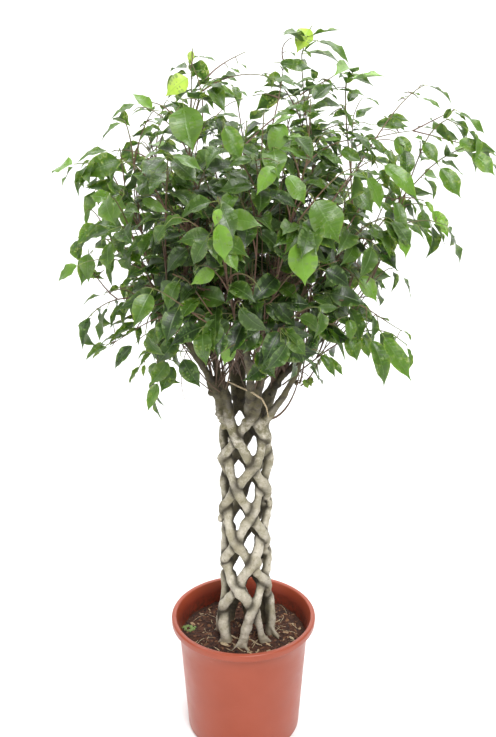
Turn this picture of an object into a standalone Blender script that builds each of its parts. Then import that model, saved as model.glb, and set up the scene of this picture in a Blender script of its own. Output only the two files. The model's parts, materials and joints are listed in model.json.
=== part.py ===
"""A weeping fig on a woven openwork trunk, in a round nursery pot.

Metres, +Z up. The origin is the middle of the pot's underside. Azimuths run from the
front, -Y, towards the right, +X.
"""

import math
import random

import bmesh
import bpy
from mathutils import Matrix, Vector
from mathutils.bvhtree import BVHTree

# Pot, turned about Z
POT_HEIGHT = 0.236
RIM_RADIUS = 0.135
RIM_MOUTH_RADIUS = 0.1255
COLLAR_HEIGHT = 0.0135
WALL_TOP_RADIUS = 0.1215
WALL_FOOT_RADIUS = 0.1070
WALL_THICKNESS = 0.0025
FLOOR_THICKNESS = 0.0040
FOOT_ROUND = 0.0045
LIP_THICKNESS = 0.0027
FLARE_DROP = 0.0060
POT_SIDES = 32
DRAIN_HOLES = 6
DRAIN_RADIUS = 0.0070
DRAIN_SIDES = 6
DRAIN_RING_RADIUS = 0.078

# Potting mix
GAP = 0.0003
MIX_BELOW_RIM = 0.041
MIX_MOUND = 0.004
MIX_TOP = POT_HEIGHT - MIX_BELOW_RIM

# Woven trunk: as many stems lean to the right as to the left
STEMS_EACH_WAY = 4
CROSSING_ROWS = 8
ROW_RISE = 0.049
FIRST_ROW_HEIGHT = MIX_TOP + 0.069
FIRST_ROW_AZIMUTH = math.radians(18)
ROW_TURN = math.pi / STEMS_EACH_WAY
TRUNK_MIDDLE = Vector((0.004, 0.0, 0.0))
TRUNK_RING_RADIUS = 0.0374
TRUNK_FOOT_FLARE = 0.0100
WEAVE_DEPTH = 0.0034
STEM_RADIUS = 0.0082
STEM_FOOT_RADIUS = 0.0094
STEM_SWELL = 0.10
STEM_SUNK = 0.060
STEM_SIDES = 5
FOOT_ROW = -0.56
FOOT_HEIGHTS = (MIX_TOP - STEM_SUNK, MIX_TOP - 0.004, MIX_TOP + 0.036)
STEPS_PER_ROW = 2
UPPER_PART = 12

# The stem whose foot is thinner than the rest, as (hand, index), and how thin
THIN_FOOT = (-1, 0)
THIN_FOOT_SHARE = 0.62

# Branches above the weave
BRANCH_RISE = 0.175
BRANCH_SPREAD = 0.066
BRANCH_TURN = 0.26
BRANCH_START_RADIUS = 0.0066
BRANCH_END_RADIUS = 0.0036
BRANCH_PARTS = (0.17, 0.42, 0.70, 1.0)

# The branch that leans out furthest, as (hand, index), its rise and its spread
LEANING_BRANCH = (-1, 1)
LEANING_RISE = 0.125
LEANING_SPREAD = 0.105
TWIG_RADIUS = 0.0022
TWIG_TIP_RADIUS = 0.0012
TWIG_SIDES = 3
TWIG_POINTS = 8
STUB_LENGTH = 0.030
JOINT_LENGTH = 0.006
TWIG_ROOM = 2 * TWIG_RADIUS
STUB_ROOM = 3 * TWIG_RADIUS

# Crown, an upright ellipsoid with a ragged edge and a bare underside
CROWN_CENTRE = Vector((0.005, 0.0, 0.945))
CROWN_RADIUS = 0.275
CROWN_UP = 0.280
CROWN_DOWN = 0.215
BARE_TOP = 0.835
BARE_RADIUS = 0.110
TIP_SPACING = 0.090
LEAVES_PER_SHOOT = 7
FIRST_LEAF = 0.30
LEAF_LENGTH = 0.054
LEAF_WIDTH_RATIO = 0.56
PETIOLE = 0.010
PETIOLE_HALF_WIDTH = 0.0005
BLADE_THICKNESS = 0.0010
CLEARANCE = 0.0012
SEED = 41

# Tips of the long outer sprays, (x, y, z), and how far each spray hangs over
OUTER_SPRAYS = (
    ((0.100, -0.010, 1.262), 0.05),
    ((0.170, -0.040, 1.205), 0.14),
    ((0.352, -0.020, 1.125), 0.30),
    ((0.385, 0.020, 1.085), 0.16),
    ((0.330, -0.070, 0.990), 0.20),
    ((0.272, -0.020, 0.790), 0.34),
    ((-0.085, 0.020, 1.225), 0.06),
    ((-0.200, 0.010, 1.140), 0.14),
    ((-0.262, -0.020, 1.065), 0.18),
    ((-0.275, 0.020, 0.945), 0.26),
    ((-0.262, -0.030, 0.815), 0.36),
    ((-0.150, -0.080, 0.725), 0.42),
)

# Crown layers: how high the tips stand above the crown's middle, how many, how far they hang
LAYERS = (
    (math.radians(64), 4, 0.05),
    (math.radians(38), 8, 0.14),
    (math.radians(8), 9, 0.24),
    (math.radians(-26), 8, 0.34),
)

# A blade's stations: share of its length, and half its width there as a share of the widest
STATIONS = ((0.26, 0.90), (0.60, 0.86), (0.83, 0.20))

# Blade forms: arch, fold, sideways sweep, edge wave
BLADE_FORMS = (
    (math.radians(38), math.radians(14), 0.05, 0.030),
    (math.radians(20), math.radians(22), -0.06, 0.045),
    (math.radians(55), math.radians(18), 0.02, 0.035),
    (math.radians(30), math.radians(9), -0.03, 0.060),
    (math.radians(68), math.radians(26), 0.08, 0.040),
)

UP = Vector((0.0, 0.0, 1.0))


def smooth(t):
    """0 to 1, level at both ends."""
    t = min(1.0, max(0.0, t))
    return t * t * (3.0 - 2.0 * t)


def around(azimuth, radius, height):
    """The point at this azimuth, distance from the axis and height."""
    return Vector((radius * math.sin(azimuth), -radius * math.cos(azimuth), height))


def material(name, colour, roughness, metallic=0.0):
    made = bpy.data.materials.new(name)
    made.use_nodes = True
    surface = made.node_tree.nodes["Principled BSDF"]
    surface.inputs["Base Color"].default_value = (*colour, 1.0)
    surface.inputs["Roughness"].default_value = roughness
    surface.inputs["Metallic"].default_value = metallic
    return made


def mesh_object(name, points, faces, collection):
    mesh = bpy.data.meshes.new(name)
    mesh.from_pydata(points, [], faces)
    mesh.update()
    made = bpy.data.objects.new(name, mesh)
    collection.objects.link(made)
    return made


def turned(name, profile, collection):
    """A profile of (radius, height) points turned about Z, its outer side running down."""
    points = [(radius, 0.0, height) for radius, height in profile]
    edges = [(i, i + 1) for i in range(len(points) - 1)]
    mesh = bpy.data.meshes.new(name)
    mesh.from_pydata(points, edges, [])
    made = bpy.data.objects.new(name, mesh)
    collection.objects.link(made)
    screw = made.modifiers.new("Turn", "SCREW")
    screw.steps = screw.render_steps = POT_SIDES
    screw.use_merge_vertices = True
    screw.merge_threshold = 0.0001
    screw.use_smooth_shade = False
    return made


def tube(name, points, radii, sides, collection):
    """A tapering tube along the points, as a mesh with welded caps."""
    ring = bpy.data.curves.new(name + "_ring", "CURVE")
    ring.dimensions = "2D"
    outline_spline = ring.splines.new("POLY")
    outline_spline.points.add(sides - 1)
    for k, place in enumerate(outline_spline.points):
        turn = k * 2 * math.pi / sides
        place.co = (math.cos(turn), math.sin(turn), 0.0, 1.0)
    outline_spline.use_cyclic_u = True
    section = bpy.data.objects.new(name + "_ring", ring)
    bpy.context.scene.collection.objects.link(section)
    curve = bpy.data.curves.new(name, "CURVE")
    curve.dimensions = "3D"
    curve.bevel_mode = "OBJECT"
    curve.bevel_object = section
    curve.use_fill_caps = True
    spline = curve.splines.new("POLY")
    spline.points.add(len(points) - 1)
    for place, point, radius in zip(spline.points, points, radii):
        place.co = (*point, 1.0)
        place.radius = radius
    line = bpy.data.objects.new(name + "_line", curve)
    bpy.context.scene.collection.objects.link(line)
    graph = bpy.context.evaluated_depsgraph_get()
    mesh = bpy.data.meshes.new_from_object(line.evaluated_get(graph))
    bpy.data.objects.remove(line)
    bpy.data.objects.remove(section)
    shape = bmesh.new()
    shape.from_mesh(mesh)
    bmesh.ops.remove_doubles(shape, verts=shape.verts, dist=0.00001)
    bmesh.ops.recalc_face_normals(shape, faces=shape.faces)
    shape.to_mesh(mesh)
    shape.free()
    made = bpy.data.objects.new(name, mesh)
    collection.objects.link(made)
    return made


def boolean(target, operation, others):
    """Joins or cuts the target with every object of a collection, and applies the result."""
    modifier = target.modifiers.new(operation.title(), "BOOLEAN")
    modifier.operation = operation
    modifier.operand_type = "COLLECTION"
    modifier.collection = others
    modifier.solver = "EXACT"
    graph = bpy.context.evaluated_depsgraph_get()
    made = bpy.data.meshes.new_from_object(target.evaluated_get(graph))
    target.modifiers.clear()
    target.data = made
    for used in list(others.objects):
        bpy.data.objects.remove(used)


# The woven trunk's stems, and the branches that they become


def row_at(height):
    """The crossing row at a height: whole numbers are crossings."""
    if height >= FIRST_ROW_HEIGHT:
        return (height - FIRST_ROW_HEIGHT) / ROW_RISE
    below = (FIRST_ROW_HEIGHT - height) / (FIRST_ROW_HEIGHT - MIX_TOP)
    return FOOT_ROW * min(1.0, below) ** 0.8


def ring_radius(height):
    """The weave's radius, wider at its foot."""
    low = 1.0 - smooth((height - MIX_TOP) / 0.12)
    return TRUNK_RING_RADIUS + TRUNK_FOOT_FLARE * low


def stem_path(hand, index, feet=FOOT_HEIGHTS, per_row=STEPS_PER_ROW, parts=BRANCH_PARTS):
    """The points and radii of one stem, from its sunk foot to the end of its branch.

    A right-hand stem, hand 1, turns towards +azimuth as it rises and passes outside on the
    even rows. A left-hand one, hand -1, does the opposite.
    """
    draw = random.Random(f"stem {hand} {index}")
    sway, lag, girth = draw.uniform(0, 6.28), draw.uniform(0, 6.28), draw.uniform(0.92, 1.1)
    points, radii = [], []

    def add(height, row):
        free = smooth((height - MIX_TOP) / 0.05)
        azimuth = FIRST_ROW_AZIMUTH + index * 2 * ROW_TURN + hand * row * ROW_TURN
        azimuth += free * 0.10 * math.sin(row * 1.3 + sway)
        fade = 1 + row / 0.7 if row < 0 else 1.0
        radius = ring_radius(height) + free * 0.0012 * math.sin(row * 1.9 + lag)
        radius += hand * WEAVE_DEPTH * math.cos(math.pi * row) * fade
        points.append(around(azimuth, radius, height) + TRUNK_MIDDLE)
        swell = 1.0 + STEM_SWELL * math.cos(2 * math.pi * row)
        foot = 1.0 - smooth((height - MIX_TOP) / 0.08)
        thick = STEM_RADIUS + (STEM_FOOT_RADIUS - STEM_RADIUS) * foot
        if (hand, index) == THIN_FOOT:
            thick *= 1.0 - (1.0 - THIN_FOOT_SHARE) * smooth(-row / 0.4)
        radii.append(girth * swell * thick)
        return azimuth, radius

    for height in feet:
        add(height, row_at(height))
    for step in range(per_row * CROSSING_ROWS + 1):
        height = FIRST_ROW_HEIGHT + step * ROW_RISE / per_row
        azimuth, radius = add(height, step / per_row)
    rise = BRANCH_RISE * draw.uniform(0.75, 1.15)
    spread = BRANCH_SPREAD * draw.uniform(0.55, 1.55)
    if (hand, index) == LEANING_BRANCH:
        rise, spread = LEANING_RISE, LEANING_SPREAD
    start = points[-1].z
    thick = radii[-1]
    for part in parts:
        out = radius + spread * part**1.2
        turned_by = hand * BRANCH_TURN * part
        points.append(around(azimuth + turned_by, out, start + rise * part) + TRUNK_MIDDLE)
        slim = BRANCH_START_RADIUS + (BRANCH_END_RADIUS - BRANCH_START_RADIUS) * part
        radii.append(thick + (slim - thick) * smooth(part / 0.42))
    return points, radii


def stem_paths():
    return [
        stem_path(hand, index) for index in range(STEMS_EACH_WAY) for hand in (1, -1)
    ]


# Where the leafy shoots grow, and the leaves on them


def bezier(controls, t):
    a, b, c, d = controls
    u = 1.0 - t
    return a * u**3 + b * (3 * u * u * t) + c * (3 * u * t * t) + d * t**3


def shoot_tips(draw):
    """(tip, hang) for every shoot: the outer sprays, then the crown's layers."""
    tips = [(Vector(tip), hang) for tip, hang in OUTER_SPRAYS]
    for lift, count, hang in LAYERS:
        turn = draw.uniform(0, 2 * math.pi)
        for k in range(count):
            azimuth = turn + (k + draw.uniform(-0.2, 0.2)) * 2 * math.pi / count
            reach = draw.uniform(0.88, 1.0)
            level = lift + draw.uniform(-0.12, 0.12)
            tall = CROWN_UP if level > 0 else CROWN_DOWN
            out = around(azimuth, CROWN_RADIUS * math.cos(level) * reach, 0.0)
            tip = CROWN_CENTRE + out + UP * tall * math.sin(level) * reach
            if all((tip - other).length > TIP_SPACING for other, _ in tips):
                tips.append((tip, hang * draw.uniform(0.8, 1.2)))
    return tips


def shoot_path(tip, hang, stems, reach_out, draw):
    """A way from a branch to the tip: evenly numbered points, the first one in the branch."""
    best = None
    for points, _ in stems:
        for k in range(len(points) - len(BRANCH_PARTS), len(points)):
            low, high = points[k - 1], points[k]
            root = low.lerp(high, 0.5) if k < len(points) - 1 else high
            side = (root - tip).to_2d().length
            cost = side + 0.35 * abs((tip.z - 0.24) - root.z) + draw.uniform(0, reach_out)
            if best is None or cost < best[0]:
                best = (cost, root, (high - low).normalized())
    _, root, heading = best
    span = (tip - root).length
    out = Vector((tip.x - root.x, tip.y - root.y, 0.0)).normalized()
    leave = (heading * 0.45 + out * 0.75 + UP * 0.40).normalized()
    first = root + leave * span * (0.32 + 0.30 * hang)
    last = tip - out * span * (0.16 + 0.25 * hang) + UP * span * (hang - 0.04)
    steps = 10
    return [bezier((root, first, last, tip), k / steps) for k in range(steps + 1)]


def along(points, share):
    """The place and direction at a share of the way along evenly numbered points."""
    scaled = share * (len(points) - 1)
    k = min(len(points) - 2, int(scaled))
    place = points[k].lerp(points[k + 1], scaled - k)
    return place, (points[k + 1] - points[k]).normalized()


def leaf_hang(place, draw):
    """How strongly a leaf hangs: the lower it grows, the more."""
    level = (place.z - CROWN_CENTRE.z) / CROWN_UP
    return draw.uniform(0.30, 1.00) - 0.30 * level


def leaf_frame(place, heading, side, hang, draw):
    """The matrix of a leaf on a twig: Y along the blade, Z out of its upper face."""
    cross = heading.cross(UP)
    if cross.length < 0.2:
        cross = around(draw.uniform(0, 6.28), 1.0, 0.0)
    cross = (Matrix.Rotation(draw.uniform(-0.5, 0.5), 3, heading) @ cross.normalized()) * side
    aim = heading * 0.70 + cross * 0.62 - UP * hang
    aim.normalize()
    out = (place - CROWN_CENTRE) / CROWN_RADIUS
    face = out + UP * 0.60
    face += Vector([draw.uniform(-0.40, 0.40) for _ in range(3)])
    normal = (face - aim * face.dot(aim)).normalized()
    across = aim.cross(normal).normalized()
    turn = Matrix((across, aim, normal)).transposed()
    return Matrix.Translation(place) @ turn.to_4x4()


def in_bare_middle(place):
    """Whether a place is in the crown's open underside, where only branches are."""
    wide = (place - CROWN_CENTRE).to_2d().length
    return place.z < BARE_TOP and wide < BARE_RADIUS


def blade(length, form, thick, grown=0.0):
    """The points and faces of a leaf: root, three stations and a drip tip.

    Each ring holds left edge, upper midrib, right edge and lower midrib. Both faces are
    split along the same diagonals.
    """
    arch, fold, sweep, wave = BLADE_FORMS[form]
    half = 0.5 * length * LEAF_WIDTH_RATIO + grown
    rings = [((0.0, 0.0, 0.0), PETIOLE_HALF_WIDTH + grown, 0.0, 0.0, 0.4 * thick)]
    for k, (share, wide) in enumerate(STATIONS):
        bend = arch * share
        middle = (
            sweep * length * share**2,
            PETIOLE + length * math.sin(bend) / arch,
            -length * (1.0 - math.cos(bend)) / arch,
        )
        ripple = wave * length * (1 if k % 2 else -1)
        rings.append((middle, half * wide, fold, ripple * wide, 0.5 * thick))
    points = []
    for (x, y, z), wide, fold_here, ripple, deep in rings:
        rise = wide * math.sin(fold_here)
        level = wide * math.cos(fold_here)
        points += [
            (x - level, y, z + rise + ripple),
            (x, y, z + deep),
            (x + level, y, z + rise - ripple),
            (x, y, z - deep),
        ]
    tip = len(points)
    points.append(
        (
            sweep * length,
            PETIOLE + length * math.sin(arch) / arch + grown,
            -length * (1.0 - math.cos(arch)) / arch,
        )
    )
    faces = [(0, 1, 2), (0, 2, 3)]
    for ring in range(len(rings) - 1):
        a, b = 4 * ring, 4 * ring + 4
        for left, right in ((0, 1), (0, 3), (2, 1), (2, 3)):
            one = (a + left, b + right, a + right)
            two = (a + left, b + left, b + right)
            flip = (left, right) in ((0, 3), (2, 1))
            faces += [one[::-1], two[::-1]] if flip else [one, two]
    last = tip - 4
    faces += [(last + k, tip, last + (k + 1) % 4) for k in range(4)]
    return [Vector(p) for p in points], faces


def outline(points, faces, frame):
    """A shape in its place, with what a test for contact needs."""
    placed = [frame @ p for p in points]
    middle = sum(placed, Vector()) / len(placed)
    reach = max((p - middle).length for p in placed)
    return middle, reach, BVHTree.FromPolygons(placed, faces)


def rod(points, radii):
    """A three-sided rod round the points, for tests for contact only."""
    corners, faces = [], []
    for k, point in enumerate(points):
        heading = points[min(k + 1, len(points) - 1)] - points[max(k - 1, 0)]
        across = heading.orthogonal().normalized() * radii[k]
        for corner in range(3):
            spin = Matrix.Rotation(corner * 2 * math.pi / 3, 3, heading)
            corners.append(point + spin @ across)
    for k in range(len(points) - 1):
        for corner in range(3):
            low, high = 3 * k + corner, 3 * k + (corner + 1) % 3
            faces.append((low, high, high + 3, low + 3))
    return corners, faces


def touches(shape, others):
    middle, reach, tree = shape
    for other_middle, other_reach, other_tree in others:
        if (middle - other_middle).length < reach + other_reach:
            if tree.overlap(other_tree):
                return True
    return False


def grow_shoots(stems, draw):
    """Shoots whose twigs keep clear of one another and of all the wood but their own stub."""
    wood = []
    for points, radii in stems:
        upper = [radius + CLEARANCE for radius in radii[UPPER_PART:]]
        corners, faces = rod(points[UPPER_PART:], upper)
        wood.append(outline(corners, faces, Matrix.Identity(4)))
    shoots = []
    for tip, hang in shoot_tips(draw):
        for attempt in range(30):
            moved = tip + Vector([draw.uniform(-0.001, 0.001) for _ in range(3)]) * attempt
            path = shoot_path(moved, hang, stems, 0.03 + 0.006 * attempt, draw)
            length = sum((b - a).length for a, b in zip(path, path[1:]))
            share = STUB_LENGTH / length
            joint, _ = along(path, share)
            stub = [path[0], joint]
            heading = (joint - path[0]).normalized()
            twig = [joint, joint + heading * JOINT_LENGTH]
            steps = TWIG_POINTS - 2
            twig += [along(path, share + (1 - share) * k / steps)[0] for k in range(1, steps + 1)]
            corners, faces = rod(twig, [TWIG_ROOM + CLEARANCE] * len(twig))
            twig_shape = outline(corners, faces, Matrix.Identity(4))
            corners, faces = rod(stub, [STUB_ROOM + CLEARANCE] * 2)
            stub_shape = outline(corners, faces, Matrix.Identity(4))
            others = wood + [s["twig_shape"] for s in shoots] + [s["stub_shape"] for s in shoots]
            if touches(twig_shape, others):
                continue
            if touches(stub_shape, [s["twig_shape"] for s in shoots]):
                continue
            kept = {"twig": twig, "stub": stub, "leaves": []}
            kept["twig_shape"], kept["stub_shape"] = twig_shape, stub_shape
            shoots.append(kept)
            break
    return shoots, wood


def grow_leaves(shoots, wood, draw):
    """Puts leaves on every shoot, each clear of all else but the twig that it grows from."""
    taken = []
    for shoot in shoots:
        others = [s["twig_shape"] for s in shoots if s is not shoot]
        others += [s["stub_shape"] for s in shoots]
        others += wood
        for k in range(LEAVES_PER_SHOOT):
            share = FIRST_LEAF + (0.985 - FIRST_LEAF) * k / (LEAVES_PER_SHOOT - 1)
            place, heading = along(shoot["twig"], share)
            side = -1 if k % 2 else 1
            for _ in range(12):
                hang = leaf_hang(place, draw)
                length = LEAF_LENGTH * draw.uniform(0.78, 1.2)
                form = draw.randrange(len(BLADE_FORMS))
                frame = leaf_frame(place, heading, side, hang, draw)
                points, faces = blade(length, form, 4 * CLEARANCE, CLEARANCE)
                shape = outline(points, faces, frame)
                if in_bare_middle(shape[0]):
                    continue
                if not touches(shape, others) and not touches(shape, taken):
                    taken.append(shape)
                    shoot["leaves"].append((frame, length, form))
                    break
    return shoots


# Building the solids


def build_pot(collection, cutters):
    inner_foot = WALL_FOOT_RADIUS - WALL_THICKNESS
    inner_top = WALL_TOP_RADIUS - WALL_THICKNESS
    under_rim = POT_HEIGHT - COLLAR_HEIGHT
    profile = (
        (0.0, FLOOR_THICKNESS),
        (inner_foot - FOOT_ROUND, FLOOR_THICKNESS),
        (inner_foot, FLOOR_THICKNESS + FOOT_ROUND),
        (inner_top, under_rim - FLARE_DROP),
        (RIM_MOUTH_RADIUS, POT_HEIGHT - 0.0022),
        (0.5 * (RIM_MOUTH_RADIUS + RIM_RADIUS), POT_HEIGHT),
        (RIM_RADIUS - 0.0012, POT_HEIGHT - 0.0015),
        (RIM_RADIUS, POT_HEIGHT - 0.0045),
        (RIM_RADIUS - 0.0005, under_rim),
        (RIM_RADIUS - LIP_THICKNESS, under_rim),
        (RIM_RADIUS - LIP_THICKNESS, POT_HEIGHT - 0.0046),
        (RIM_MOUTH_RADIUS + LIP_THICKNESS, POT_HEIGHT - 0.0050),
        (WALL_TOP_RADIUS, under_rim - FLARE_DROP),
        (WALL_FOOT_RADIUS, FOOT_ROUND),
        (WALL_FOOT_RADIUS - FOOT_ROUND, 0.0),
        (0.0, 0.0),
    )
    pot = turned("pot", profile, collection)
    for k in range(DRAIN_HOLES):
        middle = around((k + 0.5) * 2 * math.pi / DRAIN_HOLES, DRAIN_RING_RADIUS, 0.0)
        shape = bmesh.new()
        bmesh.ops.create_cone(
            shape,
            cap_ends=True,
            segments=DRAIN_SIDES,
            radius1=DRAIN_RADIUS,
            radius2=DRAIN_RADIUS,
            depth=4 * FLOOR_THICKNESS,
            matrix=Matrix.Translation(middle),
        )
        mesh = bpy.data.meshes.new("drain")
        shape.to_mesh(mesh)
        shape.free()
        cutters.objects.link(bpy.data.objects.new("drain", mesh))
    boolean(pot, "DIFFERENCE", cutters)
    pot.data.materials.append(material("pot_plastic", (0.52, 0.13, 0.07), 0.45))
    pot.data.set_sharp_from_angle(angle=math.radians(35))
    return pot


def inner_wall_radius(height):
    """The pot's inner wall, between its foot and its flare."""
    low = FLOOR_THICKNESS + FOOT_ROUND
    high = POT_HEIGHT - COLLAR_HEIGHT - FLARE_DROP
    share = (height - low) / (high - low)
    span = WALL_TOP_RADIUS - WALL_FOOT_RADIUS
    return WALL_FOOT_RADIUS - WALL_THICKNESS + share * span


def build_mix(stems, collection, cutters):
    edge = MIX_TOP - 0.002
    foot = FLOOR_THICKNESS + FOOT_ROUND
    profile = (
        (0.0, MIX_TOP + MIX_MOUND),
        (0.058, MIX_TOP + 0.8 * MIX_MOUND),
        (0.095, MIX_TOP + 0.001),
        (inner_wall_radius(edge) - 2 * GAP, edge),
        (inner_wall_radius(foot) - 2 * GAP, foot + GAP),
        (inner_wall_radius(foot) - FOOT_ROUND - GAP, FLOOR_THICKNESS + GAP),
        (0.0, FLOOR_THICKNESS + GAP),
    )
    mix = turned("potting_mix", profile, collection)
    for points, radii in stems:
        sunk = [p.copy() for p in points[:3]]
        sunk[0].z -= 2 * GAP
        tube("stem_hole", sunk, [r + 1.5 * GAP for r in radii[:3]], STEM_SIDES, cutters)
    boolean(mix, "DIFFERENCE", cutters)
    mix.data.materials.append(material("potting_mix", (0.045, 0.022, 0.014), 0.95))
    return mix


def build_trunk(stems, shoots, collection, parts):
    """The fused stems with their branches, and the stubs that the shoots grow from."""
    trunk = tube("woven_trunk", *stems[0], STEM_SIDES, collection)
    for points, radii in stems[1:]:
        tube("stem", points, radii, STEM_SIDES, parts)
    for shoot in shoots:
        tube("stub", shoot["stub"], [1.3 * TWIG_RADIUS, TWIG_RADIUS], TWIG_SIDES, parts)
    boolean(trunk, "UNION", parts)
    trunk.data.materials.append(material("fig_bark", (0.36, 0.33, 0.25), 0.85))
    trunk.data.set_sharp_from_angle(angle=math.radians(60))
    return trunk


def build_shoot(number, shoot, green, collection, parts):
    """One leafy shoot: its twig, which starts a hair from the wood, and its leaves."""
    path = [p.copy() for p in shoot["twig"]]
    path[0] += (path[1] - path[0]).normalized() * GAP
    radii = [
        TWIG_RADIUS + (TWIG_TIP_RADIUS - TWIG_RADIUS) * k / (len(path) - 1)
        for k in range(len(path))
    ]
    twig = tube(f"leafy_shoot_{number:02d}", path, radii, TWIG_SIDES, collection)
    for frame, length, form in shoot["leaves"]:
        points, faces = blade(length, form, BLADE_THICKNESS)
        mesh_object("leaf", [frame @ p for p in points], faces, parts)
    boolean(twig, "UNION", parts)
    twig.data.materials.append(green)
    return twig


def main():
    for old in list(bpy.data.objects):
        bpy.data.objects.remove(old)
    root = bpy.context.scene.collection
    plant = bpy.data.collections.new("weeping_fig")
    cutters = bpy.data.collections.new("cutters")
    parts = bpy.data.collections.new("parts_to_join")
    for collection in (plant, cutters, parts):
        root.children.link(collection)
    draw = random.Random(SEED)
    stems = stem_paths()
    shoots, wood = grow_shoots(stems, draw)
    grow_leaves(shoots, wood, draw)
    build_pot(plant, cutters)
    build_mix(stems, plant, cutters)
    build_trunk(stems, shoots, plant, parts)
    green = material("fig_leaf", (0.055, 0.16, 0.03), 0.38)
    for number, shoot in enumerate(shoots, 1):
        build_shoot(number, shoot, green, plant, parts)


main()
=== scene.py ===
"""The potted weeping fig, dressed: bark, leaves with veins, potting litter and a pale stage.

The stems, twigs and leaves grow by the same rules and draws as the solids do, so each finer
piece lies on the solid that it replaces. Metres, +Z up, azimuths from -Y towards +X.
"""

import json
import math
import random

import bmesh
import bpy
import numpy as np
from bpy.props import (
    FloatProperty,
    FloatVectorProperty,
    IntProperty,
    PointerProperty,
)
from mathutils import Matrix, Vector, noise
from mathutils.bvhtree import BVHTree
from mathutils.kdtree import KDTree

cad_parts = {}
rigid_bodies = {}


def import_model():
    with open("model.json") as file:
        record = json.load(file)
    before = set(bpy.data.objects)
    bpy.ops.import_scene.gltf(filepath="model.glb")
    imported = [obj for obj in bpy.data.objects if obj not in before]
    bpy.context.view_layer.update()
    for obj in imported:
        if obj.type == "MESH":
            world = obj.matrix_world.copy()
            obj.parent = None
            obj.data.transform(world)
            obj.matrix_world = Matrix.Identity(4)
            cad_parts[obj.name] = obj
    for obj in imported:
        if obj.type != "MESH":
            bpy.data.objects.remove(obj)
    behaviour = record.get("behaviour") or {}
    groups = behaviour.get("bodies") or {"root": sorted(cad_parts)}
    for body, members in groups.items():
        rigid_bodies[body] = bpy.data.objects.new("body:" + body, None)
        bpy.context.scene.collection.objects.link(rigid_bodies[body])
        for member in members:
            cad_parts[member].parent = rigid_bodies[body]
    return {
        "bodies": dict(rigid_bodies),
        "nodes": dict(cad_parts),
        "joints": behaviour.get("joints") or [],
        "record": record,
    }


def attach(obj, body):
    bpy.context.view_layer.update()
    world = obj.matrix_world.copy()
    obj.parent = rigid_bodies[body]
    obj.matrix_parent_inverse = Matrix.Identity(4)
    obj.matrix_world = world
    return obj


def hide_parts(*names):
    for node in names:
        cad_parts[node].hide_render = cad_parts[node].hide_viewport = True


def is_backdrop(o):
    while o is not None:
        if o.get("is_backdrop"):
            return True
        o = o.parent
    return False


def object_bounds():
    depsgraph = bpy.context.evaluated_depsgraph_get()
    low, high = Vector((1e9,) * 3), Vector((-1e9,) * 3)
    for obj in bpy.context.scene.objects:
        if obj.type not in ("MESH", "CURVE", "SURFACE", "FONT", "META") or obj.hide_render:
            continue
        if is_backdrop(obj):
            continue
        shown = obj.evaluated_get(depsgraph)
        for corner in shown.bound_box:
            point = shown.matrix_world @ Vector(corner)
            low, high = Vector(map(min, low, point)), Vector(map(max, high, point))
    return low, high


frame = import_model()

bl_info = {
    "name": "Potted weeping fig",
    "version": (1, 0, 0),
    "blender": (4, 5, 0),
    "location": "View3D > Sidebar > Fig",
    "description": "Dresses a weeping fig with a woven trunk, its pot and its potting mix",
    "category": "Object",
}

# Pot, turned about Z
POT_HEIGHT = 0.236
RIM_RADIUS = 0.135
RIM_MOUTH_RADIUS = 0.1255
COLLAR_HEIGHT = 0.0135
WALL_TOP_RADIUS = 0.1215
WALL_FOOT_RADIUS = 0.1070
WALL_THICKNESS = 0.0025
FLOOR_THICKNESS = 0.0040
FOOT_ROUND = 0.0045
LIP_THICKNESS = 0.0027
FLARE_DROP = 0.0060
DRAIN_HOLES = 6
DRAIN_RADIUS = 0.0070
DRAIN_RING_RADIUS = 0.078

# Potting mix
GAP = 0.0003
MIX_BELOW_RIM = 0.041
MIX_MOUND = 0.004
MIX_TOP = POT_HEIGHT - MIX_BELOW_RIM

# Woven trunk: as many stems lean to the right as to the left
STEMS_EACH_WAY = 4
CROSSING_ROWS = 8
ROW_RISE = 0.049
FIRST_ROW_HEIGHT = MIX_TOP + 0.069
FIRST_ROW_AZIMUTH = math.radians(18)
ROW_TURN = math.pi / STEMS_EACH_WAY
TRUNK_MIDDLE = Vector((0.004, 0.0, 0.0))
TRUNK_RING_RADIUS = 0.0374
TRUNK_FOOT_FLARE = 0.0100
WEAVE_DEPTH = 0.0034
STEM_RADIUS = 0.0082
STEM_FOOT_RADIUS = 0.0094
STEM_SWELL = 0.10
STEM_SUNK = 0.060
FOOT_ROW = -0.56
FOOT_HEIGHTS = (MIX_TOP - STEM_SUNK, MIX_TOP - 0.004, MIX_TOP + 0.036)
STEPS_PER_ROW = 2
UPPER_PART = 12

# The stem whose foot is thinner than the rest, as (hand, index), and how thin
THIN_FOOT = (-1, 0)
THIN_FOOT_SHARE = 0.62

# Branches above the weave
BRANCH_RISE = 0.175
BRANCH_SPREAD = 0.066
BRANCH_TURN = 0.26
BRANCH_START_RADIUS = 0.0066
BRANCH_END_RADIUS = 0.0036
BRANCH_PARTS = (0.17, 0.42, 0.70, 1.0)

# The branch that leans out furthest, as (hand, index), its rise and its spread
LEANING_BRANCH = (-1, 1)
LEANING_RISE = 0.125
LEANING_SPREAD = 0.105
TWIG_RADIUS = 0.0022
TWIG_TIP_RADIUS = 0.0012
TWIG_POINTS = 8
STUB_LENGTH = 0.030
JOINT_LENGTH = 0.006
TWIG_ROOM = 2 * TWIG_RADIUS
STUB_ROOM = 3 * TWIG_RADIUS

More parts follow.
